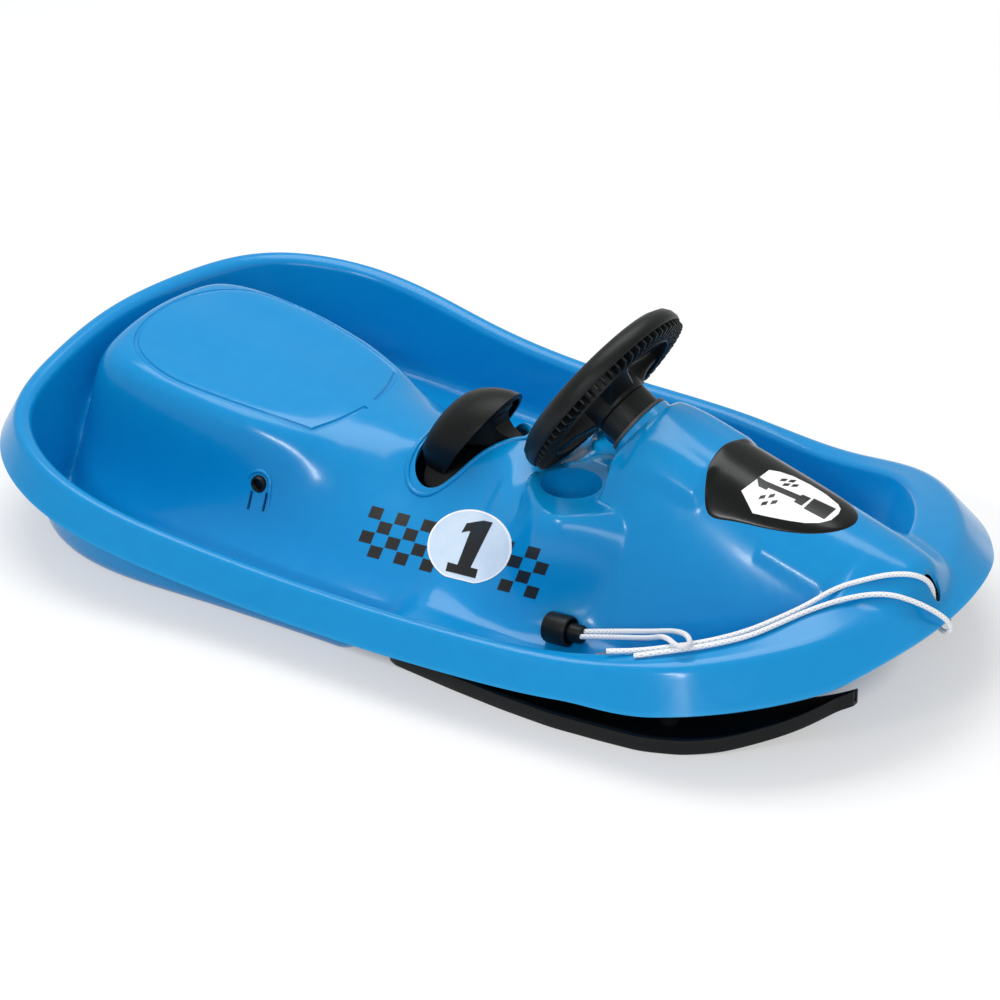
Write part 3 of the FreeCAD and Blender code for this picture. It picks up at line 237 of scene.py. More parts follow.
def hood_height(x, y):
    """Hood cut back by the plane square to the steering axis, with a rounded nose."""
    face = WHEEL_CENTRE + AXIS * COLLAR_FACE
    plane = face[2] + (x - face[0]) * AXIS[0] / -AXIS[2]
    nose = np.clip((x - NOSE_START) / (NOSE_END - NOSE_START), 0, 1)
    arch = hood_arch(x, y) + hood_swells(x, y) - NOSE_DROP * (1 - np.sqrt(1 - nose * nose))
    return blend_min(arch, plane, COLLAR_FILLET)


def floor_top(x):
    return WALL + FRONT_FLOOR * smooth((x - STEP_START) / (STEP_END - STEP_START))


CUP_PLACE, CUP_OFFSET, CUP_RADIUS, CUP_RING, CUP_MOUTH, CUP_DEPTH = 115.0, 57.0, 29.5, 38.5, 144.0, 26.0
LEDGE_SINK, LEDGE_RISE, LEDGE_SOFT, LEDGE_SHIFT, LEDGE_LIFT = 53.0, 48.0, 6.0, (11.0, 10.0), 0.4
RECESS_REACH, RECESS_SOFT, RECESS_DEEP = 43.0, 9.0, 10.0


def cup_reach(x, y, side):
    return np.hypot(x - CUP_PLACE, y - side * CUP_OFFSET)


def cup_ledges(x, y, z):
    """Flat ledge round each cup: sunk into the console, or raised from the dip under the wheel."""
    level = CUP_MOUTH + LEDGE_LIFT
    for side in (-1, 1):
        shifted = cup_reach(x - LEDGE_SHIFT[0], y - side * LEDGE_SHIFT[1], side)
        reach = np.minimum(cup_reach(x, y, side), shifted)
        edge = np.where(z > level, LEDGE_SINK, LEDGE_RISE)
        z = z + (level - z) * smooth((edge - reach) / LEDGE_SOFT)
    return z


WHEEL_MIDDLE, WHEEL_HALF, WHEEL_DEEP, WHEEL_SHIFT, WHEEL_GAP = 86.0, 13.5, 14.5, -1.0, 3.0
WHEEL_STEPS, WHEEL_STEP = 64, 0.25


def under_wheel(x, y, z):
    """Lowers the hull where it would come nearer to the wheel's rim than the running gap."""
    for _ in range(WHEEL_STEPS):
        dx, dz = x - WHEEL_CENTRE[0], z - WHEEL_CENTRE[2]
        along = dx * AXIS[0] + dz * AXIS[2]
        out = np.sqrt(np.maximum(dx * dx + y * y + dz * dz - along * along, 0))
        near = (np.abs((out - WHEEL_MIDDLE) / (WHEEL_HALF + WHEEL_GAP)) ** 3
                + np.abs((along - WHEEL_SHIFT) / (WHEEL_DEEP + WHEEL_GAP)) ** 3) < 1
        z = np.where(near & (z < WHEEL_CENTRE[2]), z - WHEEL_STEP, z)
    return z


def cup_recesses(x, y, hood):
    """Cuts the hood's sides back round each cup."""
    level = CUP_MOUTH - RECESS_DEEP
    for side in (-1, 1):
        share = smooth((RECESS_REACH - cup_reach(x, y, side)) / RECESS_SOFT)
        hood = np.where(hood > level, hood + (level - hood) * share, hood)
    return hood


RIDGE_FILLET, HOOD_FILLET, BOW_FILLET, BOW_FILLET_START, BOW_FILLET_SOFT = 44.0, 8.0, 20.0, 320.0, 80.0


def form_height(x, y, ground):
    """Ground, ridge, cup ledges and hood as one surface."""
    ridge = cup_ledges(x, y, ridge_height(x, y))
    hood = cup_recesses(x, y, hood_height(x, y))
    fillet = HOOD_FILLET + BOW_FILLET * smooth((x - BOW_FILLET_START) / BOW_FILLET_SOFT)
    return blend_max(blend_max(ground, ridge, RIDGE_FILLET), hood, fillet)


def top_height(plan):
    """Height of the ridge and hood, with the floor beside them, at places in plan."""
    x, y = plan[:, 0], plan[:, 1]
    return under_wheel(x, y, form_height(x, y, floor_top(x)))


def rounded(before, corner, after, reach, count):
    """Points of a rounded corner in a profile."""
    before, corner, after = (np.array(p, float) for p in (before, corner, after))
    start = corner + (before - corner) / np.linalg.norm(before - corner) * reach
    end = corner + (after - corner) / np.linalg.norm(after - corner) * reach
    t = np.linspace(0, 1, count)[:, None]
    return list(start * (1 - t) ** 2 + corner * 2 * t * (1 - t) + end * t * t)


def line(start, end, count):
    """Points between two ends, without the ends."""
    t = np.linspace(0, 1, count + 2)[1:-1, None]
    return list(np.array(start) * (1 - t) + np.array(end) * t)


HALF_STATIONS, FLOOR_POINTS, WHEEL_BLUR, RIM_SAMPLES = 320, 78, 7, 6000
STEP_DENSITY, CUP_DENSITY = (3, 12), (1.4, 55)
SPINE_REAR, SPINE_FRONT = -300.0, 250.0
FOOT_REACH, RIM_INNER, RIM_OUTER = 15.0, 6.0, 9.0
FOOT_POINTS, INNER_POINTS, OUTER_POINTS = 8, 7, 8
WALL_POINTS, FLANGE_POINTS, SKIRT_POINTS = 10, 9, 7
CORNER_START, CORNER_SOFT, CORNER_END, CORNER_FADE = 0.78, 0.1, 0.998, 0.03


def rim_stations():
    """Places on half of the rim, closer at the floor's step and the cups, and the rim's direction there."""
    points = [(TUB_REAR + a * TUB_LENGTH, b * TUB_HALF, c * REAR_RIM_HEIGHT) for a, b, c in RIM_ROWS]
    curve, knots = curve_through(points + [(x, -y, z) for x, y, z in reversed(points[1:-1])], True)
    t = np.linspace(0, knots[len(points) - 1], RIM_SAMPLES)
    dense = curve(t)
    step = np.linalg.norm(np.diff(dense[:, :2], axis=0), axis=1)
    middle = (dense[1:, 0] + dense[:-1, 0]) / 2
    density = 1.0
    for place, (gain, reach) in (((STEP_START + STEP_END) / 2, STEP_DENSITY), (CUP_PLACE, CUP_DENSITY)):
        density = density + gain * np.exp(-((middle - place) / reach) ** 2)
    walk = np.concatenate([[0], np.cumsum(step * density)])
    t = np.interp(np.linspace(0, walk[-1], HALF_STATIONS), walk, t)
    rim = curve(t)
    rim[0, 1] = rim[-1, 1] = 0
    return rim, curve(t + 0.5) - curve(t - 0.5)


def rim_profile(share, top, ground):
    """Section from the wall's foot over the rim to the skirt, as rows of outward distance and height."""
    deck = (max(share - DECK_START, 0) / (1 - DECK_START)) ** 2
    flange = SIDE_FLANGE + (FRONT_FLANGE - SIDE_FLANGE) * deck
    flare = SIDE_FLARE + (FRONT_FLARE - SIDE_FLARE) * deck
    crest = top + SIDE_RISE + (FRONT_RISE - SIDE_RISE) * deck
    slope = SIDE_DRAFT + (BOW_RAKE - SIDE_DRAFT) * smooth((share - BOW_START) / (1 - BOW_START))
    corner = smooth((share - CORNER_START) / CORNER_SOFT) * smooth((CORNER_END - share) / CORNER_FADE)
    foot, rim, shoulder = (-slope * (top - ground), ground), (0, top), (flange, crest)
    edge = (flange + flare, top - SKIRT_DROP - CORNER_DROP * corner)
    low = rounded((foot[0] - FOOT_REACH * 3, ground), foot, rim, FOOT_REACH, FOOT_POINTS)
    inner = rounded(foot, rim, shoulder, RIM_INNER, INNER_POINTS)
    outer = rounded(rim, shoulder, edge, RIM_OUTER, OUTER_POINTS)
    return np.array(low + line(low[-1], inner[0], WALL_POINTS) + inner
                    + line(inner[-1], outer[0], FLANGE_POINTS) + outer
                    + line(outer[-1], edge, SKIRT_POINTS) + [np.array(edge)])


def hull_grid():
    """Half of the hull's upper face: stations from stern to bow, each from the middle to the skirt."""
    rows = []
    shares = np.linspace(0, 1, FLOOR_POINTS, endpoint=False)[:, None]
    for (x, y, top), (dx, dy, _) in zip(*rim_stations()):
        outward = np.array([dy, -dx]) / math.hypot(dx, dy)
        if outward @ np.array([x, y]) < 0:
            outward = -outward
        profile = rim_profile((x - TUB_REAR) / TUB_LENGTH, top, float(floor_top(x)))
        wall = np.array([x, y]) + outward * profile[:, :1]
        spine = np.array([min(max(x, SPINE_REAR), SPINE_FRONT), 0.0])
        floor = spine + (wall[0] - spine) * shares
        rows.append(np.vstack([np.column_stack([floor, floor_top(floor[:, 0])]),
                               np.column_stack([wall, profile[:, 1]])]))
    grid = np.array(rows)
    x, y = grid[:, :, 0], grid[:, :, 1]
    z = form_height(x, y, grid[:, :, 2])
    drop = z - under_wheel(x, y, z)
    for _ in range(WHEEL_BLUR):
        wide = np.pad(drop, 1, mode="edge")
        near = sum(wide[i:i + drop.shape[0], j:j + drop.shape[1]] for i in range(3) for j in range(3)) / 9
        drop = np.maximum(drop, near)
    grid[:, :, 2] = z - drop
    grid[:, 0, 1] = grid[0, :, 1] = grid[-1, :, 1] = 0
    return grid


# Meshes

UP = Vector((0, 0, 1))
WELD = 0.02
SIDES = ((-1, "right"), (1, "left"))


def new_object(name, data):
    piece = bpy.data.objects.new(name, data)
    bpy.context.scene.collection.objects.link(piece)
    return piece


def shade(mesh, angle):
    """Smooth faces, with the edges sharper than an angle left sharp."""
    mesh.polygons.foreach_set("use_smooth", [True] * len(mesh.polygons))
    mesh.set_sharp_from_angle(angle=math.radians(angle))


def mesh_piece(name, points, faces, angle=35.0):
    """Object from points in millimetres."""
    mesh = bpy.data.meshes.new(name)
    mesh.from_pydata([tuple(c * MM for c in p) for p in points], [], faces)
    mesh.validate()
    shade(mesh, angle)
    return new_object(name, mesh)


def welded_piece(name, points, faces, angle=35.0):
    """Object whose double points are joined and whose faces look the same way."""
    piece = mesh_piece(name, points, faces, angle)
    work = bmesh.new()
    work.from_mesh(piece.data)
    bmesh.ops.remove_doubles(work, verts=work.verts, dist=WELD * MM)
    bmesh.ops.recalc_face_normals(work, faces=work.faces)
    work.to_mesh(piece.data)
    work.free()
    shade(piece.data, angle)
    return piece


def applied(piece):
    """Replaces a piece's mesh by what its modifiers give."""
    graph = bpy.context.evaluated_depsgraph_get()
    mesh = bpy.data.meshes.new_from_object(piece.evaluated_get(graph))
    old = piece.data
    piece.modifiers.clear()
    piece.data = mesh
    bpy.data.meshes.remove(old)
    return piece


def face_toward(mesh, direction):
    """Turns a mesh over if it looks away from a direction."""
    if sum(p.normal.dot(direction) * p.area for p in mesh.polygons) < 0:
        mesh.flip_normals()


def surface_of(mesh):
    """Search tree, in millimetres, for lines that meet a mesh."""
    return BVHTree.FromPolygons([v.co / MM for v in mesh.vertices], [p.vertices for p in mesh.polygons])


def thicken(piece, thickness, even=False):
    thick = piece.modifiers.new("thickness", "SOLIDIFY")
    thick.thickness, thick.offset = thickness * MM, -1.0
    thick.use_quality_normals = even


def soften(piece, width, angle):
    soft = piece.modifiers.new("edges", "BEVEL")
    soft.width, soft.segments, soft.limit_method = width * MM, 3, "ANGLE"
    soft.angle_limit = math.radians(angle)


def grid_faces(rows, columns, closed_rows=False, closed_columns=False):
    faces = []
    for i in range(rows if closed_rows else rows - 1):
        for j in range(columns if closed_columns else columns - 1):
            a, b = i * columns + j, i * columns + (j + 1) % columns
            c, d = ((i + 1) % rows) * columns + (j + 1) % columns, ((i + 1) % rows) * columns + j
            faces.append((a, b, c, d))
    return faces


def capped(rows, columns):
    """Faces of a band of closed rows, with its two ends."""
    last = (rows - 1) * columns
    ends = [tuple(range(columns))[::-1], tuple(range(last, last + columns))]
    return grid_faces(rows, columns, False, True) + ends


def circle(count):
    """Angles of a full turn in equal steps."""
    return [2 * math.pi * k / count for k in range(count)]


def ring(base, side, other, radius, segments):
    """Points of a circle in the plane of two directions."""
    return [tuple(base + (side * math.cos(a) + other * math.sin(a)) * radius) for a in circle(segments)]


def turned_piece(name, profile, base, axis, segments=64, angle=35.0):
    """Object of a closed profile, of radius and distance, turned round an axis."""
    axis = Vector(axis).normalized()
    side = axis.orthogonal().normalized()
    other = axis.cross(side)
    points = []
    for a in circle(segments):
        outward = side * math.cos(a) + other * math.sin(a)
        points += [tuple(Vector(base) + axis * d + outward * r) for r, d in profile]
    return welded_piece(name, points, grid_faces(segments, len(profile), True, True), angle)


# Materials

def node_group(name, inputs, outputs):
    """Shader group with number sockets, its input node and its output node."""
    group = bpy.data.node_groups.new(name, "ShaderNodeTree")
    for label, value in inputs.items():
        socket = group.interface.new_socket(label, in_out="INPUT", socket_type="NodeSocketFloat")
        socket.default_value = value
    for label in outputs:
        group.interface.new_socket(label, in_out="OUTPUT", socket_type="NodeSocketFloat")
    return group, group.nodes.new("NodeGroupInput"), group.nodes.new("NodeGroupOutput")


def feed(tree, socket, value):
    """Sets a socket to a value, or links it to another node's output."""
    if isinstance(value, (int, float, tuple)):
        socket.default_value = value
    else:
        tree.links.new(value, socket)


def fill(tree, node, **values):
    """Feeds sockets of a node, with underscores for the spaces in their names."""
    for label, value in values.items():
        feed(tree, node.inputs[label.replace("_", " ")], value)
    return node


def add_node(tree, kind, **values):
    return fill(tree, tree.nodes.new("ShaderNode" + kind), **values)


def math_node(tree, operation, *values):
    node = add_node(tree, "Math")
    node.operation = operation
    for socket, value in zip(node.inputs, values):
        feed(tree, socket, value)
    return node.outputs[0]


def clamped(tree, value, high=1.0):
    return math_node(tree, "MINIMUM", math_node(tree, "MAXIMUM", value, 0.0), high)


def coordinates(tree, kind="Object"):
    return add_node(tree, "TexCoord").outputs[kind]


def mapped(tree, place, scale, rotation=(0.0, 0.0, 0.0)):
    return add_node(tree, "Mapping", Vector=place, Scale=scale, Rotation=rotation).outputs["Vector"]


def noise_node(tree, place, scale, detail, rough=0.5):
    node = add_node(tree, "TexNoise", Vector=place, Scale=scale, Detail=detail, Roughness=rough)
    return node.outputs["Fac"]


def relief(tree, height, strength, distance):
    return add_node(tree, "Bump", Height=height, Strength=strength, Distance=distance).outputs["Normal"]


def mix_colour(tree, share, first, second):
    node = add_node(tree, "Mix")
    node.data_type = "RGBA"
    return fill(tree, node, Factor=share, A=first, B=second).outputs["Result"]


def mix_shaders(tree, share, first, second, target):
    """Leads two shaders, mixed by a share, to the tree's output node."""
    blend = add_node(tree, "MixShader")
    for socket, output in zip(blend.inputs, (share, first.outputs[0], second.outputs[0])):
        tree.links.new(output, socket)
    fill(tree, tree.nodes[target], Surface=blend.outputs[0])


FLOW_SCALE, CLOUD_SCALE = 9.0, 60.0
STREAKS, STREAK_STRETCH, STREAK_START, STREAK_GAIN = ((0.4, 130.0), (2.1, 170.0)), (1.0, 0.04, 1.0), 0.66, 9.0
EDGE_START, EDGE_REACH = 0.515, 14.0


def make_moulding_group():
    """Flow marks and fine grain of moulded plastic: a height, a roughness offset and a faint tone."""
    group, given, result = node_group("moulding_marks", {"Grain Scale": 900.0, "Grain": 0.5, "Flow": 0.5},
                                      ["Height", "Gloss Change", "Tone"])
    place = coordinates(group)
    grain = noise_node(group, place, given.outputs["Grain Scale"], 2.0)
    flow = noise_node(group, place, FLOW_SCALE, 3.0)
    cloud = noise_node(group, place, CLOUD_SCALE, 4.0, 0.6)
    height = math_node(group, "ADD", math_node(group, "MULTIPLY", grain, given.outputs["Grain"]),
                       math_node(group, "MULTIPLY", flow, given.outputs["Flow"]))
    tone = math_node(group, "MULTIPLY", math_node(group, "ADD", flow, cloud), 0.5)
    fill(group, result, Height=height, Gloss_Change=math_node(group, "SUBTRACT", cloud, 0.5), Tone=tone)
    return group


def make_scuff_group():
    """Fine scratches: a mask of thin stretched streaks."""
    group, given, result = node_group("scuffs", {"Amount": 0.5}, ["Mask"])
    total = 0.0
    for turn, scale in STREAKS:
        place = mapped(group, coordinates(group), STREAK_STRETCH, (turn, turn / 2, turn))
        streak = math_node(group, "SUBTRACT", noise_node(group, place, scale, 2.0), STREAK_START)
        edge = math_node(group, "MAXIMUM", math_node(group, "MULTIPLY", streak, STREAK_GAIN), 0.0)
        total = math_node(group, "ADD", edge, total)
    total = math_node(group, "MINIMUM", total, 1.0)
    fill(group, result, Mask=math_node(group, "MULTIPLY", total, given.outputs["Amount"]))
    return group


def make_edge_group():
    """Edges that light up where handling has rubbed them."""
    group, given, result = node_group("edge_rub", {"Reach": EDGE_REACH}, ["Mask"])
    raised = math_node(group, "SUBTRACT", add_node(group, "NewGeometry").outputs["Pointiness"], EDGE_START)
    raised = math_node(group, "MULTIPLY", raised, given.outputs["Reach"])
    fill(group, result, Mask=clamped(group, raised))
    return group


MOULDING, SCUFFS, EDGE_RUB = make_moulding_group(), make_scuff_group(), make_edge_group()


def colour(red, green, blue):
    """Linear colour from a displayed one of 0 to 255."""
    values = [c / 255 for c in (red, green, blue)]
    return tuple(c / 12.92 if c < 0.04045 else ((c + 0.055) / 1.055) ** 2.4 for c in values) + (1.0,)


def place_group(tree, group, **values):
    node = add_node(tree, "Group")
    node.node_tree = group
    return fill(tree, node, **values)


def blank_material(name):
    material = bpy.data.materials.new(name)
    material.use_nodes = True
    tree = material.node_tree
    return material, tree, tree.nodes["Principled BSDF"]


PLASTIC_SCUFF, PLASTIC_CLOUD, PLASTIC_DULL, PLASTIC_RELIEF, COAT_ROUGH = 0.3, 0.12, 0.18, 0.0004, 0.06


def plastic(name, dark, light, rough, grain, bump, grain_scale=900.0, flow=0.3, coat=0.0, rub=0.15,
            rub_tone=None, shine=0.5):
    """Moulded plastic: two near tones, grain and flow in the bump, scuffs and rubbed edges."""
    material, tree, shader = blank_material(name)
    marks = place_group(tree, MOULDING, Grain_Scale=grain_scale, Grain=grain, Flow=flow).outputs
    scuffs = place_group(tree, SCUFFS, Amount=PLASTIC_SCUFF).outputs["Mask"]
    rubbed = math_node(tree, "MULTIPLY", place_group(tree, EDGE_RUB).outputs["Mask"], rub)
    tone = mix_colour(tree, marks["Tone"], colour(*dark), colour(*light))
    gloss = math_node(tree, "MULTIPLY_ADD", marks["Gloss Change"], PLASTIC_CLOUD, rough)
    fill(tree, shader, Base_Color=mix_colour(tree, rubbed, tone, colour(*(rub_tone or light))),
         Roughness=math_node(tree, "MULTIPLY_ADD", scuffs, PLASTIC_DULL, gloss),
         Normal=relief(tree, marks["Height"], bump, PLASTIC_RELIEF),
         Specular_IOR_Level=shine, Coat_Weight=coat, Coat_Roughness=COAT_ROUGH)
    return material


METAL_SCUFF, METAL_CLOUD, METAL_DULL = 0.8, 0.3, 0.15


def metal(name, dark, light, rough):
    """Zinc plate: cloudy tone, fine scratches."""
    material, tree, shader = blank_material(name)
    marks = place_group(tree, MOULDING, Grain_Scale=2500.0, Grain=0.4, Flow=0.1).outputs
    scuffs = place_group(tree, SCUFFS, Amount=METAL_SCUFF).outputs["Mask"]
    gloss = math_node(tree, "MULTIPLY_ADD", marks["Gloss Change"], METAL_CLOUD, rough)
    fill(tree, shader, Base_Color=mix_colour(tree, marks["Tone"], colour(*dark), colour(*light)),
         Roughness=math_node(tree, "MULTIPLY_ADD", scuffs, METAL_DULL, gloss),
         Normal=relief(tree, marks["Height"], 0.15, 0.0002), Metallic=1.0)
    return material


CORD_STITCHES, CORD_STRANDS = 150.0, 4.0


def make_cord_material():
    """White braided cord: crossing strands along the curve's own length, with painted shade that greys the
    grooves between them.
    """
    material, tree, shader = blank_material("braided_cord")
    heights = []
    for turn in (1.0, -1.0):
        place = mapped(tree, coordinates(tree, "UV"), (CORD_STITCHES, CORD_STRANDS * turn, 1.0))
        parts = add_node(tree, "SeparateXYZ", Vector=place).outputs
        phase = math_node(tree, "ADD", parts["X"], parts["Y"])
        heights.append(math_node(tree, "SINE", math_node(tree, "MULTIPLY", phase, 2 * math.pi)))
    weave_and_painted_shade = math_node(tree, "MULTIPLY_ADD", math_node(tree, "MAXIMUM", *heights), 0.5, 0.5)
    fuzz = noise_node(tree, coordinates(tree), 1800.0, 3.0)
    # painted shade: the base colour turns grey in the grooves between the strands, where the strand height is
    # low
    fill(tree, shader, Base_Color=mix_colour(tree, weave_and_painted_shade, colour(205, 209, 214), colour(250, 251, 252)),
         Normal=relief(tree, math_node(tree, "MULTIPLY_ADD", fuzz, 0.3, weave_and_painted_shade), 0.7, 0.0006),
         Roughness=0.75, Sheen_Weight=0.3)
    return material


SLOT_MATERIALS = {
    "blue_plastic": plastic("hull_blue", (2, 130, 196), (8, 146, 208), rough=0.2, grain=0.12, bump=0.06,
                            grain_scale=700.0, flow=0.5, coat=0.1, rub=0.2, rub_tone=(70, 172, 222),
                            shine=0.3),
    "black_plastic": plastic("grip_black", (5, 8, 8), (10, 13, 13), rough=0.42, grain=0.8, bump=0.3, rub=0.35,
                             rub_tone=(42, 47, 48), shine=0.24),
    "black_gloss_plastic": plastic("cover_black", (6, 9, 9), (12, 16, 16), rough=0.24, grain=0.1, bump=0.06,
                                   coat=0.05, rub=0.2, rub_tone=(40, 46, 46), shine=0.25),
    "bearing_plastic": plastic("bearing_grey", (52, 53, 56), (66, 67, 70), rough=0.45, grain=0.5, bump=0.2,
                               rub_tone=(96, 97, 100)),
    "zinc_steel": metal("zinc_plate", (150, 152, 156), (186, 188, 190), rough=0.34),
    "white_cord": make_cord_material(),
}
STICKER_BLACK = plastic("sticker_black", (10, 14, 16), (16, 20, 22), rough=0.35, grain=0.2, bump=0.05,
                        rub=0.1, rub_tone=(60, 66, 70))
STICKER_WHITE = plastic("sticker_white", (244, 245, 247), (253, 253, 254), rough=0.3, grain=0.2, bump=0.05,
                        rub=0.0)
STICKER_ICE = plastic("sticker_ice", (172, 204, 232), (234, 242, 250), rough=0.3, grain=0.2, bump=0.05,
                      flow=0.6, rub=0.0)


def finish(piece, material):
    """Gives a piece its one material."""
    piece.data.materials.clear()
    piece.data.materials.append(material)


def dress(piece, body, slot, *nodes):
    """A new piece rides on its body, takes its slot's material and stands for the nodes given."""
    finish(piece, SLOT_MATERIALS[slot])
    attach(piece, body)
    if nodes:
        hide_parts(*nodes)
    return piece


# Hull

OPENING = [(-76.0, -88.0, 25.0), (34.0, 0.0, 12.0), (-76.0, 88.0, 25.0)]
AXLE_PLACE, AXLE_HEIGHT, AXLE_HOLE = -212.0, 68.0, 8.5
KINGPIN_PLACE, KINGPIN_OFFSET = 228.65, 172.0
ROPE_HOLE_PLACE, ROPE_HOLE = 477.0, 8.0
COLUMN_BORE, COLLAR_RADIUS, COLLAR_START, COLLAR_END = 30.05, 33.5, 49.5, 109.5
KINGPIN_HOLE, CUP_ROOM = 10.0, 0.3
OPENING_CUT, ROPE_CUT, CUP_CUT = (50.0, 300.0), (40.0, 200.0), (100.0, 300.0)
AXLE_CUT, KINGPIN_CUT = (90.0, 180.0), (0.0, 80.0)


def rounded_outline(corners, count=12):
    """Plan outline through corners with a radius each."""
    points = []
    total = len(corners)
    for i, (x, y, radius) in enumerate(corners):
        here = np.array([x, y])
        before = np.array(corners[i - 1][:2]) - here
        after = np.array(corners[(i + 1) % total][:2]) - here
        before, after = before / np.linalg.norm(before), after / np.linalg.norm(after)
        half = math.acos(float(np.clip(before @ after, -1, 1))) / 2
        middle = (before + after) / np.linalg.norm(before + after)
        centre = here + middle * radius / math.sin(half)
        first = here + before * radius / math.tan(half) - centre
        last = here + after * radius / math.tan(half) - centre
        start = math.atan2(first[1], first[0])
        turn = (math.atan2(last[1], last[0]) - start + math.pi) % (2 * math.pi) - math.pi
        for k in range(count + 1):
            a = start + turn * k / count
            points.append(centre + radius * np.array([math.cos(a), math.sin(a)]))
    return points


def prism(points, low, high):
    """Points and faces of an upright prism on a plan outline."""
    return [(x, y, z) for z in (low, high) for x, y in points], capped(2, len(points))


def rod(radius, start, end, segments=48):
    """Points and faces of a closed round bar."""
    start, end = Vector(start), Vector(end)
    axis = end - start
    side = axis.orthogonal().normalized()
    other = axis.normalized().cross(side)
    points = [p for base in (start, end) for p in ring(base, side, other, radius, segments)]
    return points, capped(2, segments)


def post(radius, x, y, low, high):
    """Points and faces of an upright round bar."""
    return rod(radius, (x, y, low), (x, y, high))


def joined(parts):
    points, faces = [], []
    for more, rows in parts:
        base = len(points)
        points += more
        faces += [tuple(base + i for i in row) for row in rows]
    return points, faces


def on_axis(distance):
    return tuple(WHEEL_CENTRE + AXIS * distance)


SLITS = [(250, 500), (265, 502)]
SLIT_SIZE = (3.0, 19.0, 14.0)


def slit(surface, px, py):
    """Upright slot through the flank at a place in the picture."""
    start, direction = view_ray(px, py)
    place, normal, _, _ = surface.ray_cast(start, direction)
    across = UP.cross(normal).normalized()
    up = normal.cross(across)
    wide, tall, deep = (c / 2 for c in SLIT_SIZE)
    points = [tuple(place + across * a * wide + up * b * tall + normal * c * deep)
              for c in (-1, 1) for a, b in ((-1, -1), (1, -1), (1, 1), (-1, 1))]
    return points, capped(2, 4)


def hull_cutters(surface):
    """Everything that is cut out of the hull."""
    parts = [prism(rounded_outline(OPENING), *OPENING_CUT),
             rod(COLUMN_BORE + 1, on_axis(0.0), on_axis(COLLAR_END)),
             post(ROPE_HOLE, ROPE_HOLE_PLACE, 0, *ROPE_CUT)]
    for side, _ in SIDES:
        parts += [post(CUP_RADIUS + CUP_ROOM, CUP_PLACE, side * CUP_OFFSET, *CUP_CUT),
                  rod(AXLE_HOLE, *((AXLE_PLACE, side * y, AXLE_HEIGHT) for y in AXLE_CUT)),
                  post(KINGPIN_HOLE, KINGPIN_PLACE, side * KINGPIN_OFFSET, *KINGPIN_CUT)]
    parts.append(tube(panel_path(), PANEL_GROOVE))
    parts += [slit(surface, px, py) for px, py in SLITS]
    return welded_piece("hull_cutters", *joined(parts))


def tube(path, radius, closed=False, segments=10):
    """Points and faces of a closed tube along a path, with one radius or one for each point."""
    path = [Vector(p) for p in path]
    count = len(path)
    radii = np.broadcast_to(radius, count)
    points = []
    for i, here in enumerate(path):
        ahead = path[(i + 1) % count] if closed or i + 1 < count else here
        behind = path[i - 1] if closed or i else here
        along = (ahead - behind).normalized()
        side = along.cross(UP).normalized()
        points += ring(here, side, side.cross(along), radii[i], segments)
    return points, grid_faces(count, segments, True, True) if closed else capped(count, segments)


PANEL_SIDE = [(-417, 0), (-413, 38), (-394, 73), (-352, 95), (-300, 97), (-250, 90), (-212, 82), (-179, 72.6)]
PANEL_FRONT = [(-179, 72.6), (-166, 40), (-159, 8)]
PANEL_GROOVE, PANEL_SINK = 3.1, 0.9
PANEL_POINTS, PANEL_FRONT_POINTS = 170, 24


def panel_path():
    """Groove round the seat panel, open at the middle of its front."""
    points = [(x, -y) for x, y in reversed(PANEL_SIDE[1:])] + PANEL_SIDE
    side, knots = curve_through(points)
    front, front_knots = curve_through(PANEL_FRONT)
    middle = side(np.linspace(0, knots[-1], PANEL_POINTS))
    end = front(np.linspace(0, front_knots[-1], PANEL_FRONT_POINTS))[1:]
    start = end[::-1] * np.array([1, -1])
    plan = np.vstack([start, middle, end])
    return np.column_stack([plan, top_height(plan) + PANEL_SINK])


def make_hull():
    """Thin-walled hull. Gives back its upper face for what is placed on it."""
    grid = hull_grid()
    faces = grid_faces(*grid.shape[:2])
    base = grid.shape[0] * grid.shape[1]
    faces = [f[::-1] for f in faces] + [tuple(base + i for i in f) for f in faces]
    halves = np.vstack([grid.reshape(-1, 3), (grid * (1, -1, 1)).reshape(-1, 3)])
    hull = welded_piece("hull_shell", halves, faces)
    face_toward(hull.data, UP)
    surface = surface_of(hull.data)
    thicken(hull, WALL, True)
    cutters = hull_cutters(surface)
    cut = hull.modifiers.new("openings", "BOOLEAN")
    cut.operation, cut.solver, cut.object = "DIFFERENCE", "EXACT", cutters
    applied(hull)
    bpy.data.objects.remove(cutters)
    shade(hull.data, 40.0)
    dress(hull, "hull", "blue_plastic", "hull")
    return surface


GUARD_RADIUS, GUARD_TURN, GUARD_TAIL, GUARD_TAIL_START = 12.5, (165, 5), (5.0, -24.0), 12.6
GUARD_THIN, GUARD_THICK, GUARD_FAR = 0.5, 2.2, 205.0


def axle_guard(surface, side):
    """Raised edge that runs over the axle's end and down in front of it."""
    turn = np.radians(np.linspace(*GUARD_TURN, 28))
    plan = [(GUARD_RADIUS * math.cos(a), GUARD_RADIUS * math.sin(a)) for a in turn]
    plan += [(GUARD_TAIL_START + GUARD_TAIL[0] * t, GUARD_TAIL[1] * t) for t in np.linspace(0.05, 1, 16)]
    path = []
    for across, up in plan:
        start = Vector((AXLE_PLACE + across, side * GUARD_FAR, AXLE_HEIGHT + up))
        path.append(surface.ray_cast(start, Vector((0, -side, 0)))[0])
    radii = np.concatenate([np.linspace(GUARD_THIN, GUARD_THICK, 10), np.full(len(path) - 24, GUARD_THICK),
                            np.linspace(GUARD_THICK, GUARD_THIN, 14)])
    return tube(path, radii, False, 12)


BEAD_OUTLINE = [(-80.5, -94.16, 25.0), (39.0, 0.0, 13.0), (-80.5, 94.16, 25.0)]
BEAD_RADIUS, BEAD_SINK, BEAD_STEP = 2.8, 0.6, 3


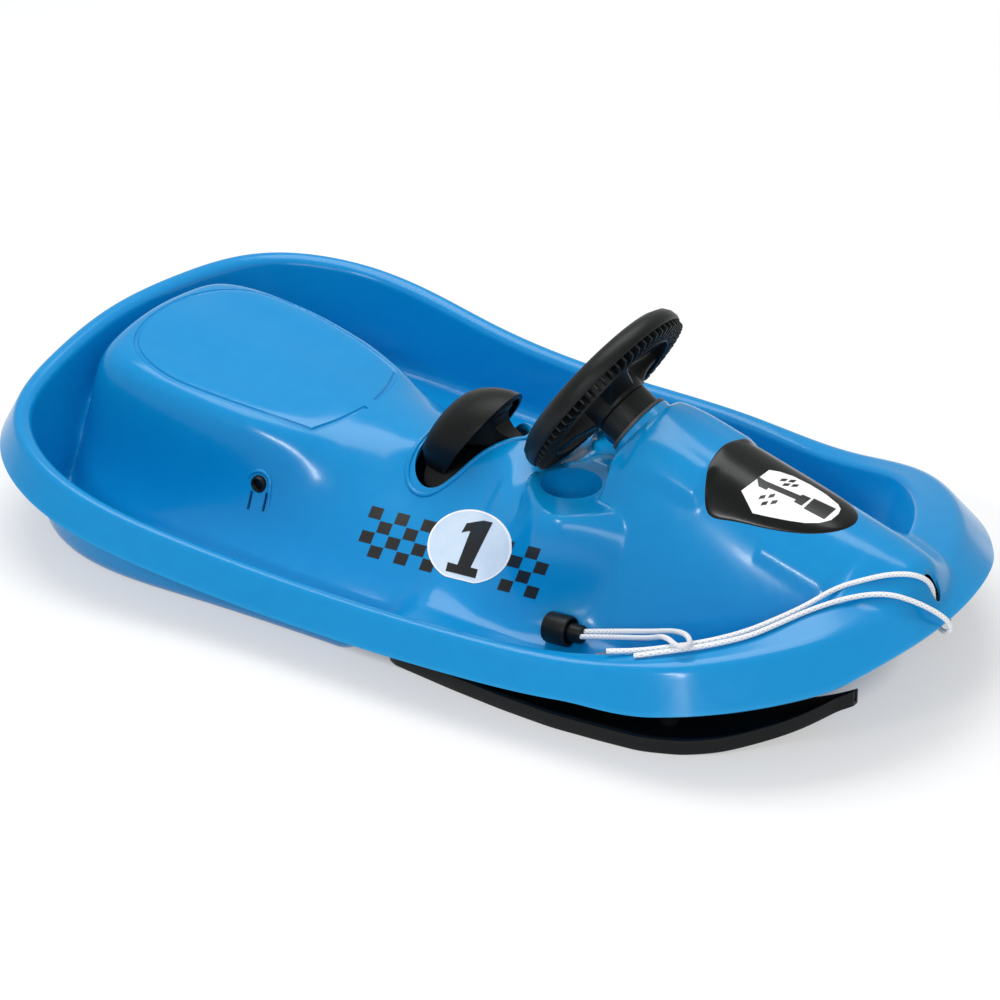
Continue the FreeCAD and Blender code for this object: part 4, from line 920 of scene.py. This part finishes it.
def make_bead():
    """Rounded edge of the tunnel's opening."""
    outline = rounded_outline(BEAD_OUTLINE, 24)
    plan = []
    for here, after in zip(outline, outline[1:] + outline[:1]):
        steps = max(int(np.linalg.norm(after - here) / BEAD_STEP), 1)
        plan += [here + (after - here) * k / steps for k in range(steps)]
    plan = np.array(plan)
    path = np.column_stack([plan, top_height(plan) - BEAD_SINK])
    return mesh_piece("opening_bead", *tube(path, BEAD_RADIUS, True, 14), 60.0)


CUP_FLOOR = CUP_MOUTH - CUP_DEPTH
CUP = [(0, CUP_FLOOR - 3), (CUP_RADIUS + 2, CUP_FLOOR - 3), (CUP_RING - 3, CUP_FLOOR - 2),
       (CUP_RING, CUP_FLOOR), (CUP_RING, CUP_MOUTH - 3), (CUP_RING - 0.9, CUP_MOUTH - 0.9),
       (CUP_RING - 3, CUP_MOUTH),
       (CUP_RADIUS + 1.5, CUP_MOUTH), (CUP_RADIUS + 0.4, CUP_MOUTH - 0.4), (CUP_RADIUS, CUP_MOUTH - 1.5),
       (CUP_RADIUS, CUP_FLOOR + 5), (CUP_RADIUS - 1.5, CUP_FLOOR + 1.5), (CUP_RADIUS - 5, CUP_FLOOR),
       (0, CUP_FLOOR)]
COLLAR = [(COLUMN_BORE, COLLAR_END), (COLUMN_BORE, COLLAR_START + 1), (COLUMN_BORE + 1, COLLAR_START),
          (COLLAR_RADIUS - 2.5, COLLAR_START), (COLLAR_RADIUS - 0.7, COLLAR_START + 0.7),
          (COLLAR_RADIUS, COLLAR_START + 2.5), (COLLAR_RADIUS, COLLAR_END)]
KINGPIN_BOSS = [(10.0, 27.0), (18.0, 27.0), (18.0, 37.0), (17.0, 38.6), (16.0, 39.0), (11.0, 39.0),
                (10.0, 38.0)]
AXLE_BOSS = [(AXLE_HOLE, 97.0), (13.0, 97.0), (13.0, 114.5), (AXLE_HOLE, 114.5)]
AXLE_PLUG = [(0, 114.6), (8.2, 114.6), (8.2, 119.4), (7.6, 120.3), (6.2, 120.3), (5.4, 119.4), (4.6, 116.6),
             (0, 116.6)]


def make_hull_fittings(surface):
    """Collar, cups, bosses, guards, bead and web of the hull's moulding, and the axle's plugs."""
    pieces = [turned_piece("steering_collar", COLLAR, WHEEL_CENTRE, AXIS, 96)]
    for side, word in SIDES:
        kingpin, axle = (KINGPIN_PLACE, side * KINGPIN_OFFSET, 0), (AXLE_PLACE, 0, AXLE_HEIGHT)
        out = (0, side, 0)
        pieces += [turned_piece(f"cup_{word}", CUP, (CUP_PLACE, side * CUP_OFFSET, 0), UP, 96),
                   turned_piece(f"kingpin_boss_{word}", KINGPIN_BOSS, kingpin, UP),
                   turned_piece(f"axle_boss_{word}", AXLE_BOSS, axle, out, 48)]
        dress(turned_piece(f"axle_plug_{word}", AXLE_PLUG, axle, out, 48), "hull", "black_plastic")
        pieces.append(mesh_piece(f"axle_guard_{word}", *axle_guard(surface, side), 60.0))
    for piece in pieces + [make_bead(), make_web()]:
        dress(piece, "hull", "blue_plastic")


WEB_PLACE, WEB_THICK, WEB_HOLE = 214.0, 8.0, 17.0
WEB_OUTLINE = [(-30, -74), (2, -74), (44, -48), (56, -22), (56, 22), (44, 48), (2, 74), (-30, 74)]
WEB_POINTS = 72


def make_web():
    """Plate under the hood that carries the lower bush."""
    outline = np.array(WEB_OUTLINE, float)
    edges = np.roll(outline, -1, axis=0) - outline
    normals = np.column_stack([edges[:, 1], -edges[:, 0]])
    normals /= (outline * normals).sum(axis=1)[:, None]
    low, high = WEB_PLACE - WEB_THICK / 2, WEB_PLACE + WEB_THICK / 2
    points = []
    for a in circle(WEB_POINTS):
        reach = 1 / (normals @ np.array([math.cos(a), math.sin(a)])).max()
        points += [wheel_point(math.degrees(a), r, d)
                   for r, d in ((WEB_HOLE, low), (reach, low), (reach, high), (WEB_HOLE, high))]
    return welded_piece("bush_web", points, grid_faces(WEB_POINTS, 4, True, True))


# Brake handle

HANDLE_ROWS = [(0, 0.32, 0.70), (0.095, 0.60, 0.89), (0.27, 0.82, 0.98), (0.51, 0.94, 1.0),
               (0.75, 0.99, 0.97), (1.0, 1.0, 0.88)]
HANDLE_REAR, HANDLE_LENGTH, HANDLE_HALF = -67.0, 76.0, 53.0
HANDLE_TOP, HANDLE_FOOT, HANDLE_WALL = 179.0, 88.0, 5.0
HANDLE_STATIONS, HANDLE_ACROSS, HANDLE_SOFT = 44, 57, 1.2
HANDLE_MID, HANDLE_BULGE, HANDLE_NARROW, HANDLE_LEAN, HANDLE_LEAN_RISE = 0.6, 0.92, 0.78, 7.5, 30.0
HANDLE_WEB = [(-46, 98, 15), (-46, 150, 15), (-20, 163, 15), (-2, 169, 13), (1, 163, 13), (-4, 155, 13),
              (-3, 147, 12), (4, 141, 10), (14, 137.5, 7), (22, 136, 4), (22, 118, 4), (0, 106, 12)]
FOOT_OUTLINE = [(-65.0, -72.0, 16.0), (26.0, 0.0, 8.0), (-65.0, 72.0, 16.0)]
FOOT_SINK, FOOT_LOW, FOOT_ROUND, FOOT_RINGS = 7.5, 86.0, 3.0, 14
FOOT_CENTRE = np.array([-38.0, 0.0])


def make_brake_foot():
    """Foot of the handle, which fills the opening of the tunnel just under its edge."""
    outline = np.array(rounded_outline(FOOT_OUTLINE, 16))
    rows = []
    for k in range(FOOT_RINGS + 1):
        share = k / FOOT_RINGS
        plan = FOOT_CENTRE + (outline - FOOT_CENTRE) * share
        top = np.maximum(top_height(plan) - FOOT_SINK, FOOT_LOW + 2)
        rows.append(np.column_stack([plan, top - FOOT_ROUND * share ** 10]))
    for plan in (outline, np.broadcast_to(FOOT_CENTRE, outline.shape)):
        rows.append(np.column_stack([plan, np.full(len(outline), FOOT_LOW)]))
    return welded_piece("brake_foot", np.vstack(rows), grid_faces(len(rows), len(outline), False, True), 40.0)


def make_brake_web():
    """Rib that joins the handle to its foot."""
    points = [(x, side * half, z) for side in (-1, 1) for x, z, half in HANDLE_WEB]
    return welded_piece("brake_web", points, [f[::-1] for f in capped(2, len(HANDLE_WEB))])


def make_brake_handle():
    """Hollow scoop, open to the front along a leaning edge."""
    places = np.linspace(0, 1, HANDLE_STATIONS)
    points = []
    for place, (top, half) in zip(places, through_rows(HANDLE_ROWS, places)):
        x = HANDLE_REAR + place * HANDLE_LENGTH
        tall, wide = HANDLE_FOOT + (HANDLE_TOP - HANDLE_FOOT) * top, half * HANDLE_HALF
        mid = HANDLE_FOOT + (tall - HANDLE_FOOT) * HANDLE_MID
        foot, bulge = HANDLE_NARROW * wide, HANDLE_BULGE * wide
        curve, knots = curve_through([(-foot, HANDLE_FOOT), (-bulge, mid), (0, tall), (bulge, mid),
                                      (foot, HANDLE_FOOT)])
        for y, z in curve(np.linspace(0, knots[-1], HANDLE_ACROSS)):
            lean = HANDLE_LEAN * min(max((z - HANDLE_FOOT) / HANDLE_LEAN_RISE, 0), 1) * (1 - place) ** 2
            points.append((x - lean, y, z))
    faces = grid_faces(HANDLE_STATIONS, HANDLE_ACROSS) + [tuple(range(HANDLE_ACROSS))]
    handle = mesh_piece("brake_scoop", points, faces, 60.0)
    work = bmesh.new()
    work.from_mesh(handle.data)
    low = Vector((HANDLE_REAR + HANDLE_LENGTH / 4, 0, HANDLE_FOOT)) * MM
    high = Vector((HANDLE_REAR + HANDLE_LENGTH, 0, HANDLE_TOP)) * MM
    edge = (high - low).normalized()
    bmesh.ops.bisect_plane(work, geom=work.verts[:] + work.edges[:] + work.faces[:], plane_co=low,
                           plane_no=Vector((edge.z, 0, -edge.x)), clear_outer=True)
    bmesh.ops.recalc_face_normals(work, faces=work.faces)
    work.to_mesh(handle.data)
    work.free()
    face_toward(handle.data, UP)
    thicken(handle, HANDLE_WALL)
    soften(handle, HANDLE_SOFT, 50.0)
    shade(applied(handle).data, 50.0)
    for piece in (make_brake_foot(), make_brake_web()):
        dress(piece, "brake", "black_plastic")
    dress(handle, "brake", "black_plastic", "brake_handle")


# Steering wheel

RIM_PROFILE = [
    (98.4, 4.6), (99.4, 1.0), (98.6, -5.0), (95.2, -11.0), (87.0, -15.5), (78.6, -11.5), (74.6, -5.0),
    (73.2, 2.0), (73.0, 10.0), (73.6, 12.6), (75.0, 13.0), (75.8, 11.0), (76.2, 2.0), (77.8, -4.0),
    (81.2, -9.0), (86.8, -11.0), (92.2, -8.6), (95.2, -3.6), (96.4, 1.0), (96.4, 4.6), (97.4, 5.4),
]
RIM_RIBS = 64
RIM_RIB = [(75.0, 0.9, -5.5, 11.5), (80.0, 0.9, -9.0, 12.2), (88.0, 0.9, -11.0, 12.2),
           (96.6, 0.9, -3.0, 11.0)]
SPOKE_ANGLES = [90.0, 210.0, 330.0]
SPOKE = [(24.0, 17.0, -1.5, 22.0), (34.0, 15.0, -1.0, 20.0), (50.0, 12.5, -0.5, 14.0),
         (64.0, 12.0, 0.0, 11.0), (74.5, 14.0, 0.0, 10.0)]
SPOKE_SOFT = 2.4
HUB = [(12.0, 26.0), (27.0, 26.0), (30.0, 24.0), (31.0, 20.0), (31.0, 3.0), (30.0, 0.0), (26.5, -1.9),
       (12.0, -1.9)]
WHEEL_UP, WHEEL_ACROSS = np.array([-AXIS[2], 0.0, AXIS[0]]), np.array([0.0, 1.0, 0.0])


def wheel_point(angle, radius, distance, side=0.0):
    """Place on the wheel by angle from its top, radius, and distances along the axis and across the radius."""
    a = math.radians(angle)
    outward = WHEEL_UP * math.cos(a) + WHEEL_ACROSS * math.sin(a)
    along = WHEEL_ACROSS * math.cos(a) - WHEEL_UP * math.sin(a)
    return tuple(WHEEL_CENTRE + AXIS * distance + outward * radius + along * side)


def wheel_block(angle, stations):
    """Points and faces of a bar on a radius: rows of radius, half width, and its two ends along the axis."""
    points = []
    for radius, half, low, high in stations:
        points += [wheel_point(angle, radius, distance, side)
                   for distance, side in ((low, -half), (low, half), (high, half), (high, -half))]
    return points, capped(len(stations), 4)


def make_wheel():
    """Wheel with a channelled rim, comb ribs in the channel, three spokes and a hub."""
    rim = turned_piece("wheel_rim", RIM_PROFILE, WHEEL_CENTRE, AXIS, 144, 40.0)
    ribs = [wheel_block(360.0 * k / RIM_RIBS, RIM_RIB) for k in range(RIM_RIBS)]
    ribs = welded_piece("wheel_ribs", *joined(ribs))
    spokes = welded_piece("wheel_spokes", *joined([wheel_block(a, SPOKE) for a in SPOKE_ANGLES]))
    soften(spokes, SPOKE_SOFT, 30.0)
    shade(applied(spokes).data, 45.0)
    hub = turned_piece("wheel_hub", HUB, WHEEL_CENTRE, AXIS, 96)
    dress(rim, "steering", "black_plastic", "steering_wheel")
    for piece in (ribs, spokes, hub):
        dress(piece, "steering", "black_plastic")


# Skis

SKI_OUTER = [(18, 214), (20, 226), (30, 231), (98, 237), (156, 240), (212, 240), (264, 234), (304, 228),
             (338, 213), (369, 192), (394, 166), (408, 151), (420, 136), (430, 118), (438, 101), (450, 92)]
SKI_INNER = [(18, 150), (20, 128), (34, 110), (70, 106), (340, 106), (400, 100), (430, 91), (450, 84)]
SKI_TIP_START, SKI_TIP_END, SKI_TIP_RISE, SKI_EDGE, SKI_BASE, SKI_WALL = 330.0, 450.0, 30.0, 16.0, 4.0, 5.0
STEER_PIN_PLACE = 299.95
SKI_STATIONS, SKI_SOFT, SKI_SMOOTHING = 121, 2.0, 3
SKI_POSTS = [(19.0, KINGPIN_PLACE, 3.0, 24.6), (9.5, STEER_PIN_PLACE, 3.0, 17.0),
             (5.0, STEER_PIN_PLACE, 16.5, 24.5)]


def make_ski(side, word):
    """Shallow tray with an upturned tip, and the posts for its pins."""
    turn = (1 - np.cos(np.linspace(0, math.pi, SKI_STATIONS))) / 2
    places = SKI_OUTER[0][0] + (SKI_OUTER[-1][0] - SKI_OUTER[0][0]) * turn
    outer, inner = (np.interp(places, *zip(*rows)) for rows in (SKI_OUTER, SKI_INNER))
    for edge in (outer, inner) * SKI_SMOOTHING:
        edge[1:-1] = (edge[:-2] + 2 * edge[1:-1] + edge[2:]) / 4
    points = []
    for x, a, b in zip(places, outer, inner):
        z = SKI_TIP_RISE * max((x - SKI_TIP_START) / (SKI_TIP_END - SKI_TIP_START), 0) ** 2
        rim = min(SKI_WALL, (a - b) * 0.25)
        soft = min(SKI_SOFT, rim / 2)
        half = [(soft, 0), (soft * 0.3, soft * 0.3), (0, soft), (0, SKI_EDGE - 1), (0.3, SKI_EDGE - 0.3),
                (soft * 0.5, SKI_EDGE), (rim, SKI_EDGE), (rim, SKI_BASE)]
        loop = [(b + d, h) for d, h in half] + [(a - d, h) for d, h in reversed(half)]
        points += [(x, side * y, z + h) for y, h in loop]
    ski = welded_piece(f"ski_blade_{word}", points, capped(SKI_STATIONS, 2 * len(half)), 30.0)
    dress(ski, f"ski_{word}", "black_plastic", f"ski_{word}")
    posts = joined([post(radius, x, side * KINGPIN_OFFSET, low, high) for radius, x, low, high in SKI_POSTS])
    dress(mesh_piece(f"ski_posts_{word}", *posts), f"ski_{word}", "black_plastic")


# Nose cover

COVER_THICK, COVER_UNDER = 1.8, 2.0
COVER_HALF = [(247.5, 0), (248.4, 14), (250.5, 29), (255.3, 42.5), (261.8, 54), (268.5, 59.5), (277, 60),
              (290, 57), (319, 50.3), (349, 41.5), (372, 30.5), (386, 17), (391.5, 0)]
COVER_CENTRE, COVER_POINTS, COVER_RINGS, COVER_ROUND = np.array([302.0, 0.0]), 168, 30, 14


def make_nose_cover():
    """Shield that lies on the hood, with a rounded edge. Gives back its face for what is placed on it."""
    curve, knots = curve_through(COVER_HALF + [(x, -y) for x, y in reversed(COVER_HALF[1:-1])], True)
    outline = curve(np.linspace(0, knots[-1], COVER_POINTS, endpoint=False))
    shares = [1 - (1 - k / COVER_RINGS) ** 2 for k in range(COVER_RINGS + 1)]
    levels = [(share, COVER_THICK * math.sqrt(max(1 - share ** COVER_ROUND, 0))) for share in shares]
    levels += [(share, -COVER_UNDER) for share in reversed(shares)]
    rows = []
    for share, lift in levels:
        plan = COVER_CENTRE + (outline - COVER_CENTRE) * share
        rows.append(np.column_stack([plan, top_height(plan) + lift]))
    faces = grid_faces(len(rows), COVER_POINTS, False, True)
    cover = welded_piece("nose_shield", np.vstack(rows), faces, 60.0)
    face_toward(cover.data, UP)
    dress(cover, "hull", "black_gloss_plastic", "nose_cover")
    return surface_of(cover.data)


# Printed signs, placed by the picture

CHECK_START, CHECK_ALONG, CHECK_DOWN = (376.2, 512.9), (13.04, 3.34), (-4.77, 11.96)
CHECKS = [(0, 0), (2, 0), (4, 0), (1, 1), (3, 1), (0, 2), (2, 2), (4, 2), (1, 3), (3, 3), (5, 3),
          (10, 0), (12, 0), (11, 1), (13, 1), (12, 2), (11, 3), (13, 3)]
CHECK_SHARE = 0.47
ROUNDEL_CENTRE, ROUNDEL_HALF, ROUNDEL_FLAT = (469.8, 546.6), (42.2, 37.0), ((439.8, 575.1), (489.9, 587.5))
SIDE_DIGIT = [
    [(462.0, 532.8), (467.3, 523.7), (484.5, 520.9), (471.0, 531.4), (467.6, 531.6)],
    [(471.0, 531.4), (484.5, 520.9), (493.3, 522.8), (471.0, 567.7), (457.8, 565.1)],
    [(448.3, 562.4), (457.8, 565.1), (471.0, 567.7), (478.3, 569.6), (475.8, 578.6), (445.9, 571.2)],
]
PLATE = [(741.3, 490.8), (752.6, 513.2), (770.4, 517.2), (788.7, 520.7), (804.8, 523.0), (819.7, 523.0),
         (831.2, 520.1), (838.7, 513.8), (840.6, 509.2), (838.1, 504.6), (825.5, 494.3), (810.5, 485.1),
         (793.3, 476.5), (779.5, 471.9), (769.0, 470.2)]
PLATE_DIGIT = [
    [(758.8, 477.0), (765.8, 481.4), (768.4, 488.0), (766.5, 490.2), (758.5, 486.6), (757.0, 478.5)],
    [(765.8, 481.4), (800.3, 496.0), (795.9, 499.8), (768.4, 488.0)],
    [(800.3, 496.0), (802.8, 495.0), (810.9, 498.7), (801.4, 506.0), (793.7, 502.0), (795.9, 499.8)],
]
PLATE_BLOCK = [(814.0, 498.9), (836.0, 509.2), (824.1, 519.5), (803.4, 508.6)]
PLATE_CHECKS = [
    ((2.9, -0.4), (-1.0, 1.7), [(762.3, 497.2), (771.7, 496.0), (764.4, 503.5), (774.1, 502.3)]),
    ((2.9, 0.2), (-1.3, 1.1), [(783.6, 480.2), (792.2, 481.4), (786.2, 484.9), (795.0, 485.9)]),
]
FILM_THICK, FILM_ROUNDS = 0.6, 4


def slanted(centre, along, down):
    """Four corners of a slanted square in the picture."""
    return [(centre[0] + a * along[0] + b * down[0], centre[1] + a * along[1] + b * down[1])
            for a, b in ((-1, -1), (1, -1), (1, 1), (-1, 1))]


def sticker(name, outlines, surface, material, lift, fine=2.0):
    """Thin film on a surface, under outlines in the picture."""
    work = bmesh.new()
    places = {corner for outline in outlines for corner in outline}
    corners = {place: work.verts.new(place + (0,)) for place in places}
    for outline in outlines:
        work.faces.new([corners[corner] for corner in outline])
    bmesh.ops.triangulate(work, faces=work.faces[:])
    for _ in range(FILM_ROUNDS):
        long = [e for e in work.edges if e.calc_length() > fine]
        if not long:
            break
        bmesh.ops.subdivide_edges(work, edges=long, cuts=1)
        bmesh.ops.triangulate(work, faces=work.faces[:])
    for vertex in work.verts:
        place, normal, _, _ = surface.ray_cast(*view_ray(vertex.co.x, vertex.co.y))
        vertex.co = (place + normal * lift) * MM
    bmesh.ops.recalc_face_normals(work, faces=work.faces[:])
    mesh = bpy.data.meshes.new(name)
    work.to_mesh(mesh)
    work.free()
    face_toward(mesh, view_back())
    film = new_object(name, mesh)
    thicken(film, FILM_THICK)
    shade(applied(film).data, 60.0)
    finish(film, material)
    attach(film, "hull")


def roundel(share):
    """Round sign with its foot cut off straight."""
    (ax, ay), (bx, by) = ROUNDEL_FLAT
    cx, cy = ROUNDEL_CENTRE
    points = []
    for a in circle(72):
        x, y = cx + ROUNDEL_HALF[0] * share * math.cos(a), cy + ROUNDEL_HALF[1] * share * math.sin(a)
        limit = cy + (ay + (by - ay) * (x - ax) / (bx - ax) - cy) * share
        points.append((x, min(y, limit)))
    return points


def make_side_sign(surface):
    squares = []
    along, down = ([CHECK_SHARE * c for c in step] for step in (CHECK_ALONG, CHECK_DOWN))
    for i, j in CHECKS:
        centre = [CHECK_START[c] + i * CHECK_ALONG[c] + j * CHECK_DOWN[c] for c in (0, 1)]
        squares.append(slanted(centre, along, down))
    sticker("side_checks", squares, surface, STICKER_BLACK, 0.25, 3.0)
    sticker("side_roundel", [roundel(1.0)], surface, STICKER_WHITE, 0.45, 3.0)
    sticker("side_roundel_field", [roundel(0.955)], surface, STICKER_ICE, 0.65, 3.0)
    sticker("side_digit", SIDE_DIGIT, surface, STICKER_BLACK, 1.0)


def make_plate(surface):
    checks = [slanted(place, along, down) for along, down, places in PLATE_CHECKS for place in places]
    sticker("nose_plate", [PLATE], surface, STICKER_WHITE, 0.3)
    sticker("nose_digit", PLATE_DIGIT, surface, STICKER_BLACK, 0.6)
    sticker("nose_block", [PLATE_BLOCK], surface, STICKER_BLACK, 0.6)
    sticker("nose_checks", checks, surface, STICKER_BLACK, 0.6)


# Tow rope

ROPE_ROUTE = [
    (262, -222, 92), (284, -211, 94), (312, -203, 103), (345, -184, 111), (369, -158, 116),
    (384, -131, 120), (398, -96, 123), (409, -62, 129), (431, -44, 137), (451, -31, 143), (470, -18, 142),
    (479, -4, 128), (479, 0, 104), (485, -3, 86), (497, -9, 83), (507, -14, 94), (501, -17, 106),
    (479, -30, 121), (454, -46, 131), (426, -66, 127), (405, -102, 124), (391, -137, 121), (377, -164, 117),
    (350, -191, 112), (318, -209, 104), (291, -220, 96),
]
LOOP_ROUTE = [
    (186, -149, 50), (236, -152, 69), (275, -160, 86), (304, -174, 104), (328, -189, 116), (341, -203, 117),
    (332, -211, 114), (308, -194, 110), (276, -170, 84), (236, -159, 66), (186, -156, 48),
]
ROPE_DIAMETER = 5.0
TOGGLE_PLACE, TOGGLE_TILT = (152.0, -152.0, 46.0), math.radians(85)
TOGGLE = [(0, 0), (12.5, 0), (14.3, 0.7), (15, 2.5), (15, 23), (14.4, 25.2), (13, 26), (11.8, 25), (9.6, 17),
          (9, 15), (9, 37.5), (8.3, 39.4), (6.5, 40), (0, 40)]


def make_cord(name, route):
    data = bpy.data.curves.new(name, "CURVE")
    data.dimensions = "3D"
    spline = data.splines.new("NURBS")
    spline.points.add(len(route) - 1)
    for point, place in zip(spline.points, route):
        point.co = tuple(c * MM for c in place) + (1.0,)
    spline.order_u, spline.use_endpoint_u, spline.resolution_u = 3, True, 10
    data.bevel_depth, data.bevel_resolution, data.use_fill_caps = ROPE_DIAMETER / 2 * MM, 5, True
    return new_object(name, data)


def make_ropes():
    """Tow line, and the loop that carries the bell-shaped grip."""
    axis = (math.sin(TOGGLE_TILT), 0, math.cos(TOGGLE_TILT))
    toggle = turned_piece("toggle_bell", TOGGLE, TOGGLE_PLACE, axis)
    dress(toggle, "hull", "black_plastic", "rope_toggle")
    rope = dress(make_cord("tow_line", ROPE_ROUTE), "hull", "white_cord", "tow_rope")
    loop = dress(make_cord("grip_loop", LOOP_ROUTE), "hull", "white_cord", "toggle_loop")


# Studio

FLOOR_SIZE, FLOOR_SINK, FLOOR_GLOW, FLOOR_SCALE = 6.0, 0.0005, 0.45, (2.1, 3.9, 0.0)
NEAR_FLOOR, FAR_FLOOR = (4.0, -3.2), (0.4, -1.2)
WORLD_LIGHT = 0.52
LIGHTS = [
    ("top_softbox", (-0.6, 0.5, 2.4), (0, 0, 0), (2.2, 1.6), 43),
    ("side_strip", (1.6, -2.0, 1.3), (0.1, 0, 0.1), (1.8, 0.5), 14),
    ("corner_strip", (0.1, -2.4, 1.95), (0.25, -0.1, 0.1), (0.6, 0.2), 13),
]


def make_floor():
    """Floor that looks white to the eye and in reflections, save under the object, and keeps its shadow."""
    mesh = bpy.data.meshes.new("studio_floor")
    corners = [(a * FLOOR_SIZE, b * FLOOR_SIZE, 0) for a, b in ((-1, -1), (1, -1), (1, 1), (-1, 1))]
    mesh.from_pydata(corners, [], [(0, 1, 2, 3)])
    floor = new_object("studio_floor", mesh)
    floor.location.z = -FLOOR_SINK
    material, tree, shader = blank_material("studio_white")
    dust = noise_node(tree, coordinates(tree), 3.0, 2.0)
    tone = mix_colour(tree, dust, colour(243, 244, 245), colour(247, 248, 248))
    fill(tree, shader, Base_Color=tone, Roughness=0.9)
    path = add_node(tree, "LightPath").outputs
    camera_ray = seen = path["Is Camera Ray"]
    for kind in ("Is Glossy Ray", "Is Transmission Ray"):
        seen = math_node(tree, "MAXIMUM", seen, path[kind])
    reach = add_node(tree, "VectorMath")
    reach.operation = "LENGTH"
    feed(tree, reach.inputs[0], mapped(tree, coordinates(tree), FLOOR_SCALE))
    near, far = (math_node(tree, "MULTIPLY_ADD", reach.outputs["Value"], *ramp)
                 for ramp in (NEAR_FLOOR, FAR_FLOOR))
    near = math_node(tree, "MULTIPLY", seen, clamped(tree, near, FLOOR_GLOW))
    far = math_node(tree, "MULTIPLY", camera_ray, clamped(tree, far))
    share = math_node(tree, "MAXIMUM", near, far)
    mix_shaders(tree, share, shader, add_node(tree, "Emission"), "Material Output")
    finish(floor, material)


def aim(piece, place, target):
    """Puts a camera or lamp at a place, looking at a target."""
    piece.location = place
    piece.rotation_mode = "QUATERNION"
    piece.rotation_quaternion = (Vector(target) - Vector(place)).to_track_quat("-Z", "Y")


def set_camera():
    data = bpy.data.cameras.new("view")
    data.sensor_width, data.lens = SENSOR, VIEW_LENS
    data.shift_x, data.shift_y = VIEW_SHIFT
    camera = new_object("view", data)
    aim(camera, view_back() * VIEW_DISTANCE, (0, 0, 0))
    bpy.context.scene.camera = camera


def set_light():
    """Lamps, and a world that is plain white to the eye."""
    world = bpy.data.worlds.new("studio")
    bpy.context.scene.world = world
    world.use_nodes = True
    tree = world.node_tree
    light = fill(tree, tree.nodes["Background"], Color=(1, 1, 1, 1), Strength=WORLD_LIGHT)
    white = add_node(tree, "Background", Color=(1, 1, 1, 1), Strength=1.0)
    mix_shaders(tree, add_node(tree, "LightPath").outputs["Is Camera Ray"], light, white, "World Output")
    for name, place, target, size, power in LIGHTS:
        data = bpy.data.lights.new(name, "AREA")
        data.shape, data.energy = "RECTANGLE", power
        data.size, data.size_y = size
        aim(new_object(name, data), place, target)


bpy.context.scene.view_settings.view_transform = "Standard"
set_camera()
make_ropes()
hull_surface = make_hull()
make_hull_fittings(hull_surface)
make_brake_handle()
make_wheel()
for side, word in SIDES:
    make_ski(side, word)
cover_surface = make_nose_cover()
make_side_sign(hull_surface)
make_plate(cover_surface)
slots = {row["node"]: row["material_slot"] for row in frame["record"]["subparts"]}
for name, node in frame["nodes"].items():
    finish(node, SLOT_MATERIALS[slots[name]])
make_floor()
set_light()
